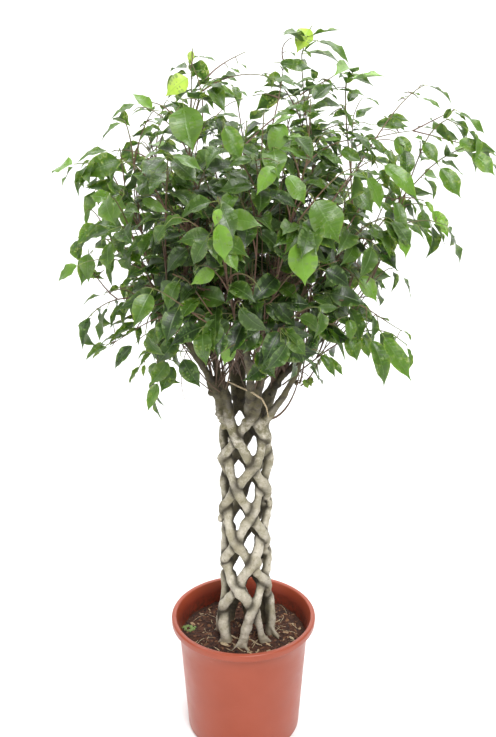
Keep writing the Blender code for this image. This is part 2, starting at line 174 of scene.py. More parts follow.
# Crown, an upright ellipsoid with a ragged edge and a bare underside
CROWN_CENTRE = Vector((0.005, 0.0, 0.945))
CROWN_RADIUS = 0.275
CROWN_UP = 0.280
CROWN_DOWN = 0.215
BARE_TOP = 0.835
BARE_RADIUS = 0.110
TIP_SPACING = 0.090
LEAVES_PER_SHOOT = 7
FIRST_LEAF = 0.30
LEAF_LENGTH = 0.054
LEAF_WIDTH_RATIO = 0.56
PETIOLE = 0.010
PETIOLE_HALF_WIDTH = 0.0005
CLEARANCE = 0.0012
SEED = 41

# Tips of the long outer sprays, (x, y, z), and how far each spray hangs over
OUTER_SPRAYS = (
    ((0.100, -0.010, 1.262), 0.05),
    ((0.170, -0.040, 1.205), 0.14),
    ((0.352, -0.020, 1.125), 0.30),
    ((0.385, 0.020, 1.085), 0.16),
    ((0.330, -0.070, 0.990), 0.20),
    ((0.272, -0.020, 0.790), 0.34),
    ((-0.085, 0.020, 1.225), 0.06),
    ((-0.200, 0.010, 1.140), 0.14),
    ((-0.262, -0.020, 1.065), 0.18),
    ((-0.275, 0.020, 0.945), 0.26),
    ((-0.262, -0.030, 0.815), 0.36),
    ((-0.150, -0.080, 0.725), 0.42),
)

# Crown layers: how high the tips stand above the crown's middle, how many, how far they hang
LAYERS = (
    (math.radians(64), 4, 0.05),
    (math.radians(38), 8, 0.14),
    (math.radians(8), 9, 0.24),
    (math.radians(-26), 8, 0.34),
)

# A blade's stations: share of its length, and half its width there as a share of the widest
STATIONS = ((0.26, 0.90), (0.60, 0.86), (0.83, 0.20))

# Blade forms: arch, fold, sideways sweep, edge wave
BLADE_FORMS = (
    (math.radians(38), math.radians(14), 0.05, 0.030),
    (math.radians(20), math.radians(22), -0.06, 0.045),
    (math.radians(55), math.radians(18), 0.02, 0.035),
    (math.radians(30), math.radians(9), -0.03, 0.060),
    (math.radians(68), math.radians(26), 0.08, 0.040),
)

UP = Vector((0.0, 0.0, 1.0))


def smooth(t):
    """0 to 1, level at both ends."""
    t = min(1.0, max(0.0, t))
    return t * t * (3.0 - 2.0 * t)


def around(azimuth, radius, height):
    """The point at this azimuth, distance from the axis and height."""
    return Vector((radius * math.sin(azimuth), -radius * math.cos(azimuth), height))


# The woven trunk's stems, and the branches that they become


def row_at(height):
    """The crossing row at a height: whole numbers are crossings."""
    if height >= FIRST_ROW_HEIGHT:
        return (height - FIRST_ROW_HEIGHT) / ROW_RISE
    below = (FIRST_ROW_HEIGHT - height) / (FIRST_ROW_HEIGHT - MIX_TOP)
    return FOOT_ROW * min(1.0, below) ** 0.8


def ring_radius(height):
    """The weave's radius, wider at its foot."""
    low = 1.0 - smooth((height - MIX_TOP) / 0.12)
    return TRUNK_RING_RADIUS + TRUNK_FOOT_FLARE * low


def stem_path(hand, index, feet=FOOT_HEIGHTS, per_row=STEPS_PER_ROW, parts=BRANCH_PARTS):
    """The points and radii of one stem, from its sunk foot to the end of its branch.

    A right-hand stem, hand 1, turns towards +azimuth as it rises and passes outside on the
    even rows. A left-hand one, hand -1, does the opposite.
    """
    draw = random.Random(f"stem {hand} {index}")
    sway, lag, girth = draw.uniform(0, 6.28), draw.uniform(0, 6.28), draw.uniform(0.92, 1.1)
    points, radii = [], []

    def add(height, row):
        free = smooth((height - MIX_TOP) / 0.05)
        azimuth = FIRST_ROW_AZIMUTH + index * 2 * ROW_TURN + hand * row * ROW_TURN
        azimuth += free * 0.10 * math.sin(row * 1.3 + sway)
        fade = 1 + row / 0.7 if row < 0 else 1.0
        radius = ring_radius(height) + free * 0.0012 * math.sin(row * 1.9 + lag)
        radius += hand * WEAVE_DEPTH * math.cos(math.pi * row) * fade
        points.append(around(azimuth, radius, height) + TRUNK_MIDDLE)
        swell = 1.0 + STEM_SWELL * math.cos(2 * math.pi * row)
        foot = 1.0 - smooth((height - MIX_TOP) / 0.08)
        thick = STEM_RADIUS + (STEM_FOOT_RADIUS - STEM_RADIUS) * foot
        if (hand, index) == THIN_FOOT:
            thick *= 1.0 - (1.0 - THIN_FOOT_SHARE) * smooth(-row / 0.4)
        radii.append(girth * swell * thick)
        return azimuth, radius

    for height in feet:
        add(height, row_at(height))
    for step in range(per_row * CROSSING_ROWS + 1):
        height = FIRST_ROW_HEIGHT + step * ROW_RISE / per_row
        azimuth, radius = add(height, step / per_row)
    rise = BRANCH_RISE * draw.uniform(0.75, 1.15)
    spread = BRANCH_SPREAD * draw.uniform(0.55, 1.55)
    if (hand, index) == LEANING_BRANCH:
        rise, spread = LEANING_RISE, LEANING_SPREAD
    start = points[-1].z
    thick = radii[-1]
    for part in parts:
        out = radius + spread * part**1.2
        turned_by = hand * BRANCH_TURN * part
        points.append(around(azimuth + turned_by, out, start + rise * part) + TRUNK_MIDDLE)
        slim = BRANCH_START_RADIUS + (BRANCH_END_RADIUS - BRANCH_START_RADIUS) * part
        radii.append(thick + (slim - thick) * smooth(part / 0.42))
    return points, radii


def stem_paths():
    return [
        stem_path(hand, index) for index in range(STEMS_EACH_WAY) for hand in (1, -1)
    ]


# Where the leafy shoots grow, and the leaves on them


def bezier(controls, t):
    a, b, c, d = controls
    u = 1.0 - t
    return a * u**3 + b * (3 * u * u * t) + c * (3 * u * t * t) + d * t**3


def shoot_tips(draw):
    """(tip, hang) for every shoot: the outer sprays, then the crown's layers."""
    tips = [(Vector(tip), hang) for tip, hang in OUTER_SPRAYS]
    for lift, count, hang in LAYERS:
        turn = draw.uniform(0, 2 * math.pi)
        for k in range(count):
            azimuth = turn + (k + draw.uniform(-0.2, 0.2)) * 2 * math.pi / count
            reach = draw.uniform(0.88, 1.0)
            level = lift + draw.uniform(-0.12, 0.12)
            tall = CROWN_UP if level > 0 else CROWN_DOWN
            out = around(azimuth, CROWN_RADIUS * math.cos(level) * reach, 0.0)
            tip = CROWN_CENTRE + out + UP * tall * math.sin(level) * reach
            if all((tip - other).length > TIP_SPACING for other, _ in tips):
                tips.append((tip, hang * draw.uniform(0.8, 1.2)))
    return tips


def shoot_path(tip, hang, stems, reach_out, draw):
    """A way from a branch to the tip: evenly numbered points, the first one in the branch."""
    best = None
    for points, _ in stems:
        for k in range(len(points) - len(BRANCH_PARTS), len(points)):
            low, high = points[k - 1], points[k]
            root = low.lerp(high, 0.5) if k < len(points) - 1 else high
            side = (root - tip).to_2d().length
            cost = side + 0.35 * abs((tip.z - 0.24) - root.z) + draw.uniform(0, reach_out)
            if best is None or cost < best[0]:
                best = (cost, root, (high - low).normalized())
    _, root, heading = best
    span = (tip - root).length
    out = Vector((tip.x - root.x, tip.y - root.y, 0.0)).normalized()
    leave = (heading * 0.45 + out * 0.75 + UP * 0.40).normalized()
    first = root + leave * span * (0.32 + 0.30 * hang)
    last = tip - out * span * (0.16 + 0.25 * hang) + UP * span * (hang - 0.04)
    steps = 10
    return [bezier((root, first, last, tip), k / steps) for k in range(steps + 1)]


def along(points, share):
    """The place and direction at a share of the way along evenly numbered points."""
    scaled = share * (len(points) - 1)
    k = min(len(points) - 2, int(scaled))
    place = points[k].lerp(points[k + 1], scaled - k)
    return place, (points[k + 1] - points[k]).normalized()


def leaf_hang(place, draw):
    """How strongly a leaf hangs: the lower it grows, the more."""
    level = (place.z - CROWN_CENTRE.z) / CROWN_UP
    return draw.uniform(0.30, 1.00) - 0.30 * level


def leaf_frame(place, heading, side, hang, draw):
    """The matrix of a leaf on a twig: Y along the blade, Z out of its upper face."""
    cross = heading.cross(UP)
    if cross.length < 0.2:
        cross = around(draw.uniform(0, 6.28), 1.0, 0.0)
    cross = (Matrix.Rotation(draw.uniform(-0.5, 0.5), 3, heading) @ cross.normalized()) * side
    aim = heading * 0.70 + cross * 0.62 - UP * hang
    aim.normalize()
    out = (place - CROWN_CENTRE) / CROWN_RADIUS
    face = out + UP * 0.60
    face += Vector([draw.uniform(-0.40, 0.40) for _ in range(3)])
    normal = (face - aim * face.dot(aim)).normalized()
    across = aim.cross(normal).normalized()
    turn = Matrix((across, aim, normal)).transposed()
    return Matrix.Translation(place) @ turn.to_4x4()


def in_bare_middle(place):
    """Whether a place is in the crown's open underside, where only branches are."""
    wide = (place - CROWN_CENTRE).to_2d().length
    return place.z < BARE_TOP and wide < BARE_RADIUS


def blade(length, form, thick, grown=0.0):
    """The points and faces of a leaf: root, three stations and a drip tip.

    Each ring holds left edge, upper midrib, right edge and lower midrib. Both faces are
    split along the same diagonals.
    """
    arch, fold, sweep, wave = BLADE_FORMS[form]
    half = 0.5 * length * LEAF_WIDTH_RATIO + grown
    rings = [((0.0, 0.0, 0.0), PETIOLE_HALF_WIDTH + grown, 0.0, 0.0, 0.4 * thick)]
    for k, (share, wide) in enumerate(STATIONS):
        bend = arch * share
        middle = (
            sweep * length * share**2,
            PETIOLE + length * math.sin(bend) / arch,
            -length * (1.0 - math.cos(bend)) / arch,
        )
        ripple = wave * length * (1 if k % 2 else -1)
        rings.append((middle, half * wide, fold, ripple * wide, 0.5 * thick))
    points = []
    for (x, y, z), wide, fold_here, ripple, deep in rings:
        rise = wide * math.sin(fold_here)
        level = wide * math.cos(fold_here)
        points += [
            (x - level, y, z + rise + ripple),
            (x, y, z + deep),
            (x + level, y, z + rise - ripple),
            (x, y, z - deep),
        ]
    tip = len(points)
    points.append(
        (
            sweep * length,
            PETIOLE + length * math.sin(arch) / arch + grown,
            -length * (1.0 - math.cos(arch)) / arch,
        )
    )
    faces = [(0, 1, 2), (0, 2, 3)]
    for ring in range(len(rings) - 1):
        a, b = 4 * ring, 4 * ring + 4
        for left, right in ((0, 1), (0, 3), (2, 1), (2, 3)):
            one = (a + left, b + right, a + right)
            two = (a + left, b + left, b + right)
            flip = (left, right) in ((0, 3), (2, 1))
            faces += [one[::-1], two[::-1]] if flip else [one, two]
    last = tip - 4
    faces += [(last + k, tip, last + (k + 1) % 4) for k in range(4)]
    return [Vector(p) for p in points], faces


def outline(points, faces, frame):
    """A shape in its place, with what a test for contact needs."""
    placed = [frame @ p for p in points]
    middle = sum(placed, Vector()) / len(placed)
    reach = max((p - middle).length for p in placed)
    return middle, reach, BVHTree.FromPolygons(placed, faces)


def rod(points, radii):
    """A three-sided rod round the points, for tests for contact only."""
    corners, faces = [], []
    for k, point in enumerate(points):
        heading = points[min(k + 1, len(points) - 1)] - points[max(k - 1, 0)]
        across = heading.orthogonal().normalized() * radii[k]
        for corner in range(3):
            spin = Matrix.Rotation(corner * 2 * math.pi / 3, 3, heading)
            corners.append(point + spin @ across)
    for k in range(len(points) - 1):
        for corner in range(3):
            low, high = 3 * k + corner, 3 * k + (corner + 1) % 3
            faces.append((low, high, high + 3, low + 3))
    return corners, faces


def touches(shape, others):
    middle, reach, tree = shape
    for other_middle, other_reach, other_tree in others:
        if (middle - other_middle).length < reach + other_reach:
            if tree.overlap(other_tree):
                return True
    return False


def grow_shoots(stems, draw):
    """Shoots whose twigs keep clear of one another and of all the wood but their own stub."""
    wood = []
    for points, radii in stems:
        upper = [radius + CLEARANCE for radius in radii[UPPER_PART:]]
        corners, faces = rod(points[UPPER_PART:], upper)
        wood.append(outline(corners, faces, Matrix.Identity(4)))
    shoots = []
    for tip, hang in shoot_tips(draw):
        for attempt in range(30):
            moved = tip + Vector([draw.uniform(-0.001, 0.001) for _ in range(3)]) * attempt
            path = shoot_path(moved, hang, stems, 0.03 + 0.006 * attempt, draw)
            length = sum((b - a).length for a, b in zip(path, path[1:]))
            share = STUB_LENGTH / length
            joint, _ = along(path, share)
            stub = [path[0], joint]
            heading = (joint - path[0]).normalized()
            twig = [joint, joint + heading * JOINT_LENGTH]
            steps = TWIG_POINTS - 2
            twig += [along(path, share + (1 - share) * k / steps)[0] for k in range(1, steps + 1)]
            corners, faces = rod(twig, [TWIG_ROOM + CLEARANCE] * len(twig))
            twig_shape = outline(corners, faces, Matrix.Identity(4))
            corners, faces = rod(stub, [STUB_ROOM + CLEARANCE] * 2)
            stub_shape = outline(corners, faces, Matrix.Identity(4))
            others = wood + [s["twig_shape"] for s in shoots] + [s["stub_shape"] for s in shoots]
            if touches(twig_shape, others):
                continue
            if touches(stub_shape, [s["twig_shape"] for s in shoots]):
                continue
            kept = {"twig": twig, "stub": stub, "leaves": []}
            kept["twig_shape"], kept["stub_shape"] = twig_shape, stub_shape
            shoots.append(kept)
            break
    return shoots, wood


def grow_leaves(shoots, wood, draw):
    """Puts leaves on every shoot, each clear of all else but the twig that it grows from."""
    taken = []
    for shoot in shoots:
        others = [s["twig_shape"] for s in shoots if s is not shoot]
        others += [s["stub_shape"] for s in shoots]
        others += wood
        for k in range(LEAVES_PER_SHOOT):
            share = FIRST_LEAF + (0.985 - FIRST_LEAF) * k / (LEAVES_PER_SHOOT - 1)
            place, heading = along(shoot["twig"], share)
            side = -1 if k % 2 else 1
            for _ in range(12):
                hang = leaf_hang(place, draw)
                length = LEAF_LENGTH * draw.uniform(0.78, 1.2)
                form = draw.randrange(len(BLADE_FORMS))
                frame = leaf_frame(place, heading, side, hang, draw)
                points, faces = blade(length, form, 4 * CLEARANCE, CLEARANCE)
                shape = outline(points, faces, frame)
                if in_bare_middle(shape[0]):
                    continue
                if not touches(shape, others) and not touches(shape, taken):
                    taken.append(shape)
                    shoot["leaves"].append((frame, length, form))
                    break
    return shoots


# Fine growth: what the solids leave out

SIDE_TWIG_SHELLS = ((100, 0.98), (66, 0.76), (46, 0.52), (16, 0.28))
SIDE_TWIG_SPAN = (0.045, 0.190)
SIDE_TWIG_RADIUS = 0.0013
INTERNODE = 0.021
CROWN_SECTORS = 8
INNER_TWIGS = 260
DEEP_SHARES = (0.50, 0.68, 0.86)
DEEP_FLOOR = 0.84
LEAF_ROOM = 0.0115

# The photograph's frame in pixels, and the camera that shows the plant as it does
PHOTO_WIDTH, PHOTO_HEIGHT = 496, 737
PHOTO_FOCUS = 950.0
CAMERA_PLACE = Vector((0.0085, -1.55, 1.243))
CAMERA_DOWN = math.radians(18.59)
CAMERA_SENSOR = 36.0
CAMERA_LENS = round(CAMERA_SENSOR * PHOTO_FOCUS / PHOTO_HEIGHT, 1)


def curve(controls, steps):
    """Points spread evenly along the smooth curve that four places give."""
    return [bezier(controls, k / steps) for k in range(steps + 1)]


def sight(across, down):
    """The way from the camera through a pixel of the photograph: right, ahead and up."""
    rise = (PHOTO_HEIGHT / 2 - down) / PHOTO_FOCUS
    low, level = math.sin(CAMERA_DOWN), math.cos(CAMERA_DOWN)
    right = (across - PHOTO_WIDTH / 2) / PHOTO_FOCUS
    return right, level + low * rise, level * rise - low


def seen_at(across, down, depth):
    """The place that a pixel shows on the upright plane y = depth, to the millimetre."""
    right, ahead, up = sight(across, down)
    far = (depth - CAMERA_PLACE.y) / ahead
    place = (CAMERA_PLACE.x + far * right, depth, CAMERA_PLACE.z + far * up)
    return Vector([round(value, 3) for value in place])


def seen_path(pixels, first, last):
    """The places that pixels show, their depths spread evenly from the first to the last."""
    steps = len(pixels) - 1
    return [
        seen_at(*pixel, first + (last - first) * k / steps) for k, pixel in enumerate(pixels)
    ]


def seen_wood(rows):
    """The points and radii of a branch or twig, each row (across, down, depth, radius)."""
    return [seen_at(*row[:3]) for row in rows], [row[3] for row in rows]


def seen_on_mix(across, down):
    """The place, x and y, that a pixel shows on the potting mix, to the millimetre."""
    right, ahead, up = sight(across, down)
    far = (LITTER_TOP - CAMERA_PLACE.z) / up
    return round(CAMERA_PLACE.x + far * right, 3), round(CAMERA_PLACE.y + far * ahead, 3)


def seen_round(across, down, reach, depth):
    """A round place that the photograph shows on the plane y = depth: x, z, reach."""
    right, ahead, up = sight(across, down)
    far = (depth - CAMERA_PLACE.y) / ahead
    x, z = CAMERA_PLACE.x + far * right, CAMERA_PLACE.z + far * up
    return round(x, 3), round(z, 3), round(reach * far / PHOTO_FOCUS, 3)


KINDS = len(BLADE_FORMS)

# A blade's width: usual, slim or broad
USUAL, SLIM, BROAD = range(3)
BLADE_WIDTHS = {SLIM: 0.66, BROAD: 1.28}

# How a leaf of the crown's edge looks: where its face looks, and its blade's width
FRONT = ((0.0, -1.0, 0.28), USUAL)
RAISED = ((0.0, -0.40, 0.95), SLIM)
LEVEL = ((0.0, -0.10, 1.0), SLIM)
NARROW = ((0.0, -0.90, 0.45), SLIM)
WIDE = ((0.0, -1.0, 0.28), BROAD)

# Leaves that stand out: the blade's middle, where it points, where its face looks, its
# length, its blade and its tint
SHOW_LEAVES = (
    ((0.083, -0.268, 0.964), (0.05, -0.25, -1.0), (0.05, -1.0, 0.20), 0.062, 16, 0.70),
    ((0.118, -0.250, 1.019), (0.55, -0.25, -0.80), (0.10, -0.90, 0.50), 0.070, 18, 0.47),
    ((-0.027, -0.272, 0.991), (0.15, -0.05, -1.0), (0.35, -1.0, 0.55), 0.056, 2, 0.70),
    ((-0.036, -0.270, 1.022), (-0.30, -0.20, -0.7), (0.0, -0.8, 0.6), 0.026, 2, 0.76),
    ((-0.080, -0.140, 1.138), (0.15, -0.60, -0.75), (-0.05, -0.9, 0.35), 0.070, 18, 0.52),
    ((-0.012, -0.205, 1.117), (0.35, -0.25, -0.85), (0.10, -0.9, 0.45), 0.055, 2, 0.49),
    ((0.047, -0.190, 1.122), (-0.40, -0.30, -0.75), (0.0, -0.8, 0.6), 0.052, 6, 0.60),
    ((0.030, -0.245, 1.073), (-0.55, -0.25, -0.60), (0.0, -0.8, 0.6), 0.046, 2, 0.66),
    ((0.077, -0.245, 1.060), (0.50, -0.30, -0.65), (0.1, -0.8, 0.6), 0.048, 6, 0.55),
    ((-0.060, -0.225, 0.934), (-0.75, -0.20, -0.30), (0.0, -0.9, 0.5), 0.040, 6, 0.80),
    ((-0.254, -0.035, 0.903), (-0.15, -0.15, -1.0), (-0.25, -1.0, 0.30), 0.050, 6, 0.50),
    ((-0.025, -0.150, 0.792), (-0.35, -0.10, -0.85), (0.1, -0.9, 0.5), 0.042, 6, 0.80),
    ((0.037, -0.150, 0.775), (0.55, -0.10, -0.80), (0.1, -0.9, 0.4), 0.054, 2, 0.26),
    ((0.323, -0.010, 0.972), (0.60, -0.10, -0.85), (0.2, -0.8, 0.5), 0.050, 2, 0.74),
    ((0.090, -0.012, 1.255), (-0.45, -0.30, -0.60), (-0.1, -0.9, 0.7), 0.042, 18, 1.00),
    ((-0.106, -0.010, 1.188), (-0.85, -0.25, -0.50), (0.1, -0.9, 0.6), 0.046, 18, 1.00),
    ((-0.082, 0.000, 1.224), (-0.20, -0.20, -0.90), (0.0, -0.9, 0.5), 0.022, 2, 1.00),
    ((0.112, -0.010, 0.690), (0.40, -0.20, -0.75), (0.1, -0.9, 0.4), 0.020, 6, 0.52),
)

# Leaves of the crown's ragged edge, read from the photograph: root and tip in pixels
# across and down, the root's depth, how the face looks, and tint
OUTER_LEAVES = (
    (455, 139, 482, 153, -0.02, FRONT, 0.55),
    (469, 150, 494, 176, -0.01, FRONT, 0.55),
    (420, 141, 440, 164, -0.04, FRONT, 0.44),
    (437, 163, 458, 198, -0.05, FRONT, 0.46),
    (396, 132, 406, 163, -0.05, WIDE, 0.48),
    (404, 146, 406, 181, -0.06, FRONT, 0.22),
    (418, 127, 453, 140, 0.01, LEVEL, 0.42),
    (371, 125, 410, 127, 0.00, NARROW, 0.34),
    (384, 116, 412, 121, 0.02, NARROW, 0.38),
    (343, 134, 378, 131, -0.02, LEVEL, 0.34),
    (380, 137, 355, 149, -0.03, RAISED, 0.32),
    (454, 109, 485, 137, 0.00, RAISED, 0.46),
    (404, 93, 421, 99, 0.01, LEVEL, 0.50),
    (418, 98, 444, 111, 0.00, RAISED, 0.50),
    (424, 85, 454, 109, 0.02, LEVEL, 0.36),
    (377, 161, 417, 198, -0.10, NARROW, 0.58),
    (394, 196, 403, 238, -0.10, NARROW, 0.42),
    (423, 200, 437, 218, -0.04, NARROW, 0.74),
    (436, 217, 450, 240, -0.05, NARROW, 0.76),
    (408, 200, 417, 220, -0.06, LEVEL, 0.30),
    (413, 224, 436, 239, -0.05, LEVEL, 0.60),
    (387, 230, 403, 251, -0.06, LEVEL, 0.30),
    (338, 148, 363, 164, -0.12, FRONT, 0.42),
    (312, 40, 350, 66, 0.00, RAISED, 0.46),
    (337, 72, 374, 88, 0.00, RAISED, 0.46),
    (319, 82, 292, 88, 0.01, LEVEL, 0.42),
    (274, 62, 312, 70, -0.01, NARROW, 0.34),
    (283, 74, 262, 82, -0.03, FRONT, 0.34),
    (285, 99, 334, 89, -0.03, LEVEL, 0.46),
    (334, 89, 367, 98, -0.02, LEVEL, 0.46),
    (324, 91, 341, 104, -0.04, LEVEL, 0.36),
    (220, 78, 242, 83, 0.00, RAISED, 0.32),
    (194, 58, 220, 63, 0.01, LEVEL, 0.44),
    (203, 84, 233, 96, -0.02, RAISED, 0.52),
    (231, 91, 252, 100, -0.01, LEVEL, 0.42),
    (252, 96, 271, 92, -0.02, LEVEL, 0.42),
    (271, 96, 291, 94, -0.02, LEVEL, 0.36),
    (243, 99, 206, 100, -0.03, LEVEL, 0.36),
    (278, 112, 323, 117, -0.08, RAISED, 0.42),
    (303, 112, 270, 120, -0.09, RAISED, 0.44),
    (362, 98, 384, 110, 0.00, LEVEL, 0.42),
    (329, 116, 346, 118, -0.03, LEVEL, 0.42),
    (344, 112, 353, 132, -0.03, RAISED, 0.38),
    (351, 119, 363, 128, -0.03, RAISED, 0.38),
    (339, 104, 349, 119, -0.02, LEVEL, 0.34),
    (140, 103, 111, 120, 0.00, RAISED, 0.42),
    (152, 110, 127, 118, -0.01, LEVEL, 0.36),
    (152, 119, 136, 131, -0.02, LEVEL, 0.36),
    (157, 124, 138, 142, -0.03, RAISED, 0.44),
    (167, 128, 150, 145, -0.03, LEVEL, 0.40),
    (113, 151, 76, 164, 0.00, RAISED, 0.44),
    (126, 159, 82, 176, -0.03, FRONT, 0.42),
    (111, 169, 77, 194, -0.02, RAISED, 0.50),
    (98, 184, 86, 226, 0.00, RAISED, 0.48),
    (124, 194, 101, 240, -0.08, NARROW, 0.56),
    (99, 221, 76, 244, -0.02, FRONT, 0.44),
    (119, 238, 106, 259, -0.05, FRONT, 0.50),
    (138, 197, 168, 214, -0.14, NARROW, 0.52),
    (116, 250, 113, 288, -0.02, LEVEL, 0.34),
    (148, 261, 126, 281, -0.06, FRONT, 0.20),
    (120, 286, 105, 293, -0.02, FRONT, 0.30),
    (104, 295, 80, 308, 0.00, LEVEL, 0.34),
    (172, 290, 121, 306, -0.10, NARROW, 0.14),
    (113, 324, 96, 335, 0.00, LEVEL, 0.34),
    (142, 321, 111, 341, -0.04, RAISED, 0.42),
    (126, 334, 99, 346, -0.02, LEVEL, 0.38),
    (111, 344, 84, 362, 0.00, LEVEL, 0.34),
    (161, 324, 147, 351, -0.08, FRONT, 0.42),
    (141, 322, 138, 347, -0.03, LEVEL, 0.18),
    (181, 335, 158, 364, -0.10, FRONT, 0.18),
    (171, 358, 151, 386, -0.10, FRONT, 0.46),
    (159, 378, 149, 412, -0.10, NARROW, 0.50),
    (176, 362, 160, 392, -0.09, FRONT, 0.38),
    (180, 354, 199, 387, -0.12, FRONT, 0.18),
    (151, 350, 135, 363, -0.04, LEVEL, 0.40),
    (142, 364, 129, 387, -0.03, LEVEL, 0.40),
    (145, 363, 144, 381, -0.04, RAISED, 0.26),
    (194, 303, 175, 316, -0.12, FRONT, 0.50),
    (379, 329, 406, 378, -0.10, NARROW, 0.54),
    (367, 333, 387, 384, -0.12, NARROW, 0.38),
    (348, 316, 353, 344, -0.12, FRONT, 0.44),
    (346, 334, 360, 362, -0.10, WIDE, 0.38),
    (350, 314, 381, 331, -0.08, LEVEL, 0.30),
    (377, 317, 394, 324, -0.04, LEVEL, 0.30),
    (401, 330, 414, 346, -0.02, LEVEL, 0.30),
    (357, 273, 378, 301, -0.08, FRONT, 0.60),
    (338, 261, 354, 277, -0.10, FRONT, 0.20),
    (370, 278, 389, 293, -0.03, LEVEL, 0.30),
    (318, 352, 338, 378, -0.12, NARROW, 0.26),
    (325, 354, 343, 378, -0.10, RAISED, 0.40),
    (368, 248, 379, 264, -0.08, FRONT, 0.42),
    (152, 278, 128, 283, -0.04, RAISED, 0.34),
    (146, 284, 121, 289, -0.04, LEVEL, 0.34),
    (137, 316, 118, 322, -0.04, RAISED, 0.40),
    (128, 323, 105, 330, -0.02, LEVEL, 0.38),
    (140, 327, 122, 338, -0.04, RAISED, 0.40),
    (128, 335, 106, 348, -0.01, RAISED, 0.38),
    (152, 351, 139, 368, -0.05, RAISED, 0.34),
    (137, 372, 127, 386, -0.02, RAISED, 0.36),
    (104, 270, 90, 283, -0.02, LEVEL, 0.34),
    (123, 226, 113, 240, -0.03, RAISED, 0.44),
    (93, 160, 78, 172, 0.00, RAISED, 0.44),
    (392, 122, 408, 134, 0.00, RAISED, 0.44),
    (430, 135, 446, 145, -0.01, RAISED, 0.44),
    (444, 139, 458, 150, -0.01, RAISED, 0.46),
    (362, 135, 344, 143, -0.04, RAISED, 0.36),
    (398, 101, 413, 94, 0.01, LEVEL, 0.40),
    (410, 92, 424, 98, 0.00, RAISED, 0.44),
    (452, 112, 470, 124, 0.00, RAISED, 0.46),
    (366, 150, 390, 157, -0.06, RAISED, 0.36),
    (360, 170, 384, 178, -0.09, RAISED, 0.40),
    (372, 186, 395, 192, -0.08, RAISED, 0.38),
    (345, 192, 366, 205, -0.12, RAISED, 0.36),
    (300, 50, 316, 62, 0.00, RAISED, 0.40),
    (286, 52, 300, 60, -0.01, LEVEL, 0.38),
    (280, 66, 292, 78, -0.02, RAISED, 0.36),
    (324, 84, 336, 96, -0.02, RAISED, 0.42),
    (238, 64, 250, 72, 0.00, LEVEL, 0.36),
    (228, 68, 244, 76, -0.01, RAISED, 0.42),
    (170, 112, 152, 118, -0.05, RAISED, 0.42),
    (180, 106, 166, 100, -0.05, LEVEL, 0.40),
    (362, 334, 370, 360, -0.08, FRONT, 0.44),
    (368, 138, 388, 156, -0.06, NARROW, 0.40),
    (382, 148, 398, 168, -0.07, NARROW, 0.40),
    (352, 186, 374, 213, -0.10, WIDE, 0.36),
    (376, 200, 396, 216, -0.08, NARROW, 0.46),
    (378, 168, 392, 190, -0.09, FRONT, 0.34),
    (384, 176, 402, 200, -0.08, NARROW, 0.52),
    (362, 152, 380, 166, -0.08, NARROW, 0.34),
    (112, 346, 84, 362, -0.01, RAISED, 0.36),
    (102, 350, 90, 362, 0.00, RAISED, 0.34),
    (93, 250, 80, 284, -0.01, FRONT, 0.44),
    (308, 376, 312, 390, 0.00, FRONT, 0.30),
    (312, 386, 306, 372, 0.00, LEVEL, 0.20),
)
TIP_NEARER = 0.012
EDGE_TURN = 0.8
EDGE_LIFT = 0.42
EDGE_ARCH = 1.06
SHORTEST_LEAF = 0.018

# The twigs that carry them: four points in pixels, and the depths of the first and the last
OUTER_TWIGS = (
    (((330, 165), (355, 140), (385, 134), (413, 131)), -0.06, 0.00),
    (((413, 131), (430, 135), (447, 139), (458, 143)), 0.00, -0.02),
    (((345, 188), (378, 135), (398, 98), (424, 85)), -0.08, 0.01),
    (((413, 131), (428, 123), (442, 116), (455, 110)), 0.00, 0.00),
    (((330, 205), (348, 176), (362, 160), (378, 160)), -0.14, -0.10),
    (((265, 150), (277, 112), (283, 80), (284, 60)), -0.06, -0.01),
    (((284, 62), (279, 50), (284, 40), (292, 38)), -0.01, -0.01),
    (((240, 150), (275, 112), (300, 98), (334, 89)), -0.10, -0.03),
    (((300, 95), (315, 84), (328, 82), (338, 72)), -0.04, 0.00),
    (((200, 135), (207, 105), (200, 78), (190, 60)), -0.08, 0.00),
    (((205, 80), (215, 66), (232, 58), (246, 52)), -0.03, 0.01),
    (((190, 140), (175, 110), (158, 98), (140, 103)), -0.08, 0.00),
    (((165, 175), (145, 150), (128, 148), (112, 151)), -0.08, 0.00),
    (((160, 290), (140, 280), (125, 288), (105, 293)), -0.10, -0.02),
    (((175, 300), (150, 305), (130, 315), (112, 325)), -0.12, -0.02),
    (((170, 315), (150, 318), (135, 330), (110, 345)), -0.12, 0.00),
    (((180, 330), (165, 340), (152, 350), (142, 364)), -0.12, -0.03),
    (((340, 300), (362, 300), (378, 318), (402, 331)), -0.14, -0.02),
    (((345, 255), (355, 262), (362, 268), (371, 278)), -0.12, -0.03),
    (((340, 240), (356, 214), (366, 196), (376, 186)), -0.14, -0.09),
    (((392, 200), (405, 196), (415, 198), (424, 201)), -0.10, -0.04),
)

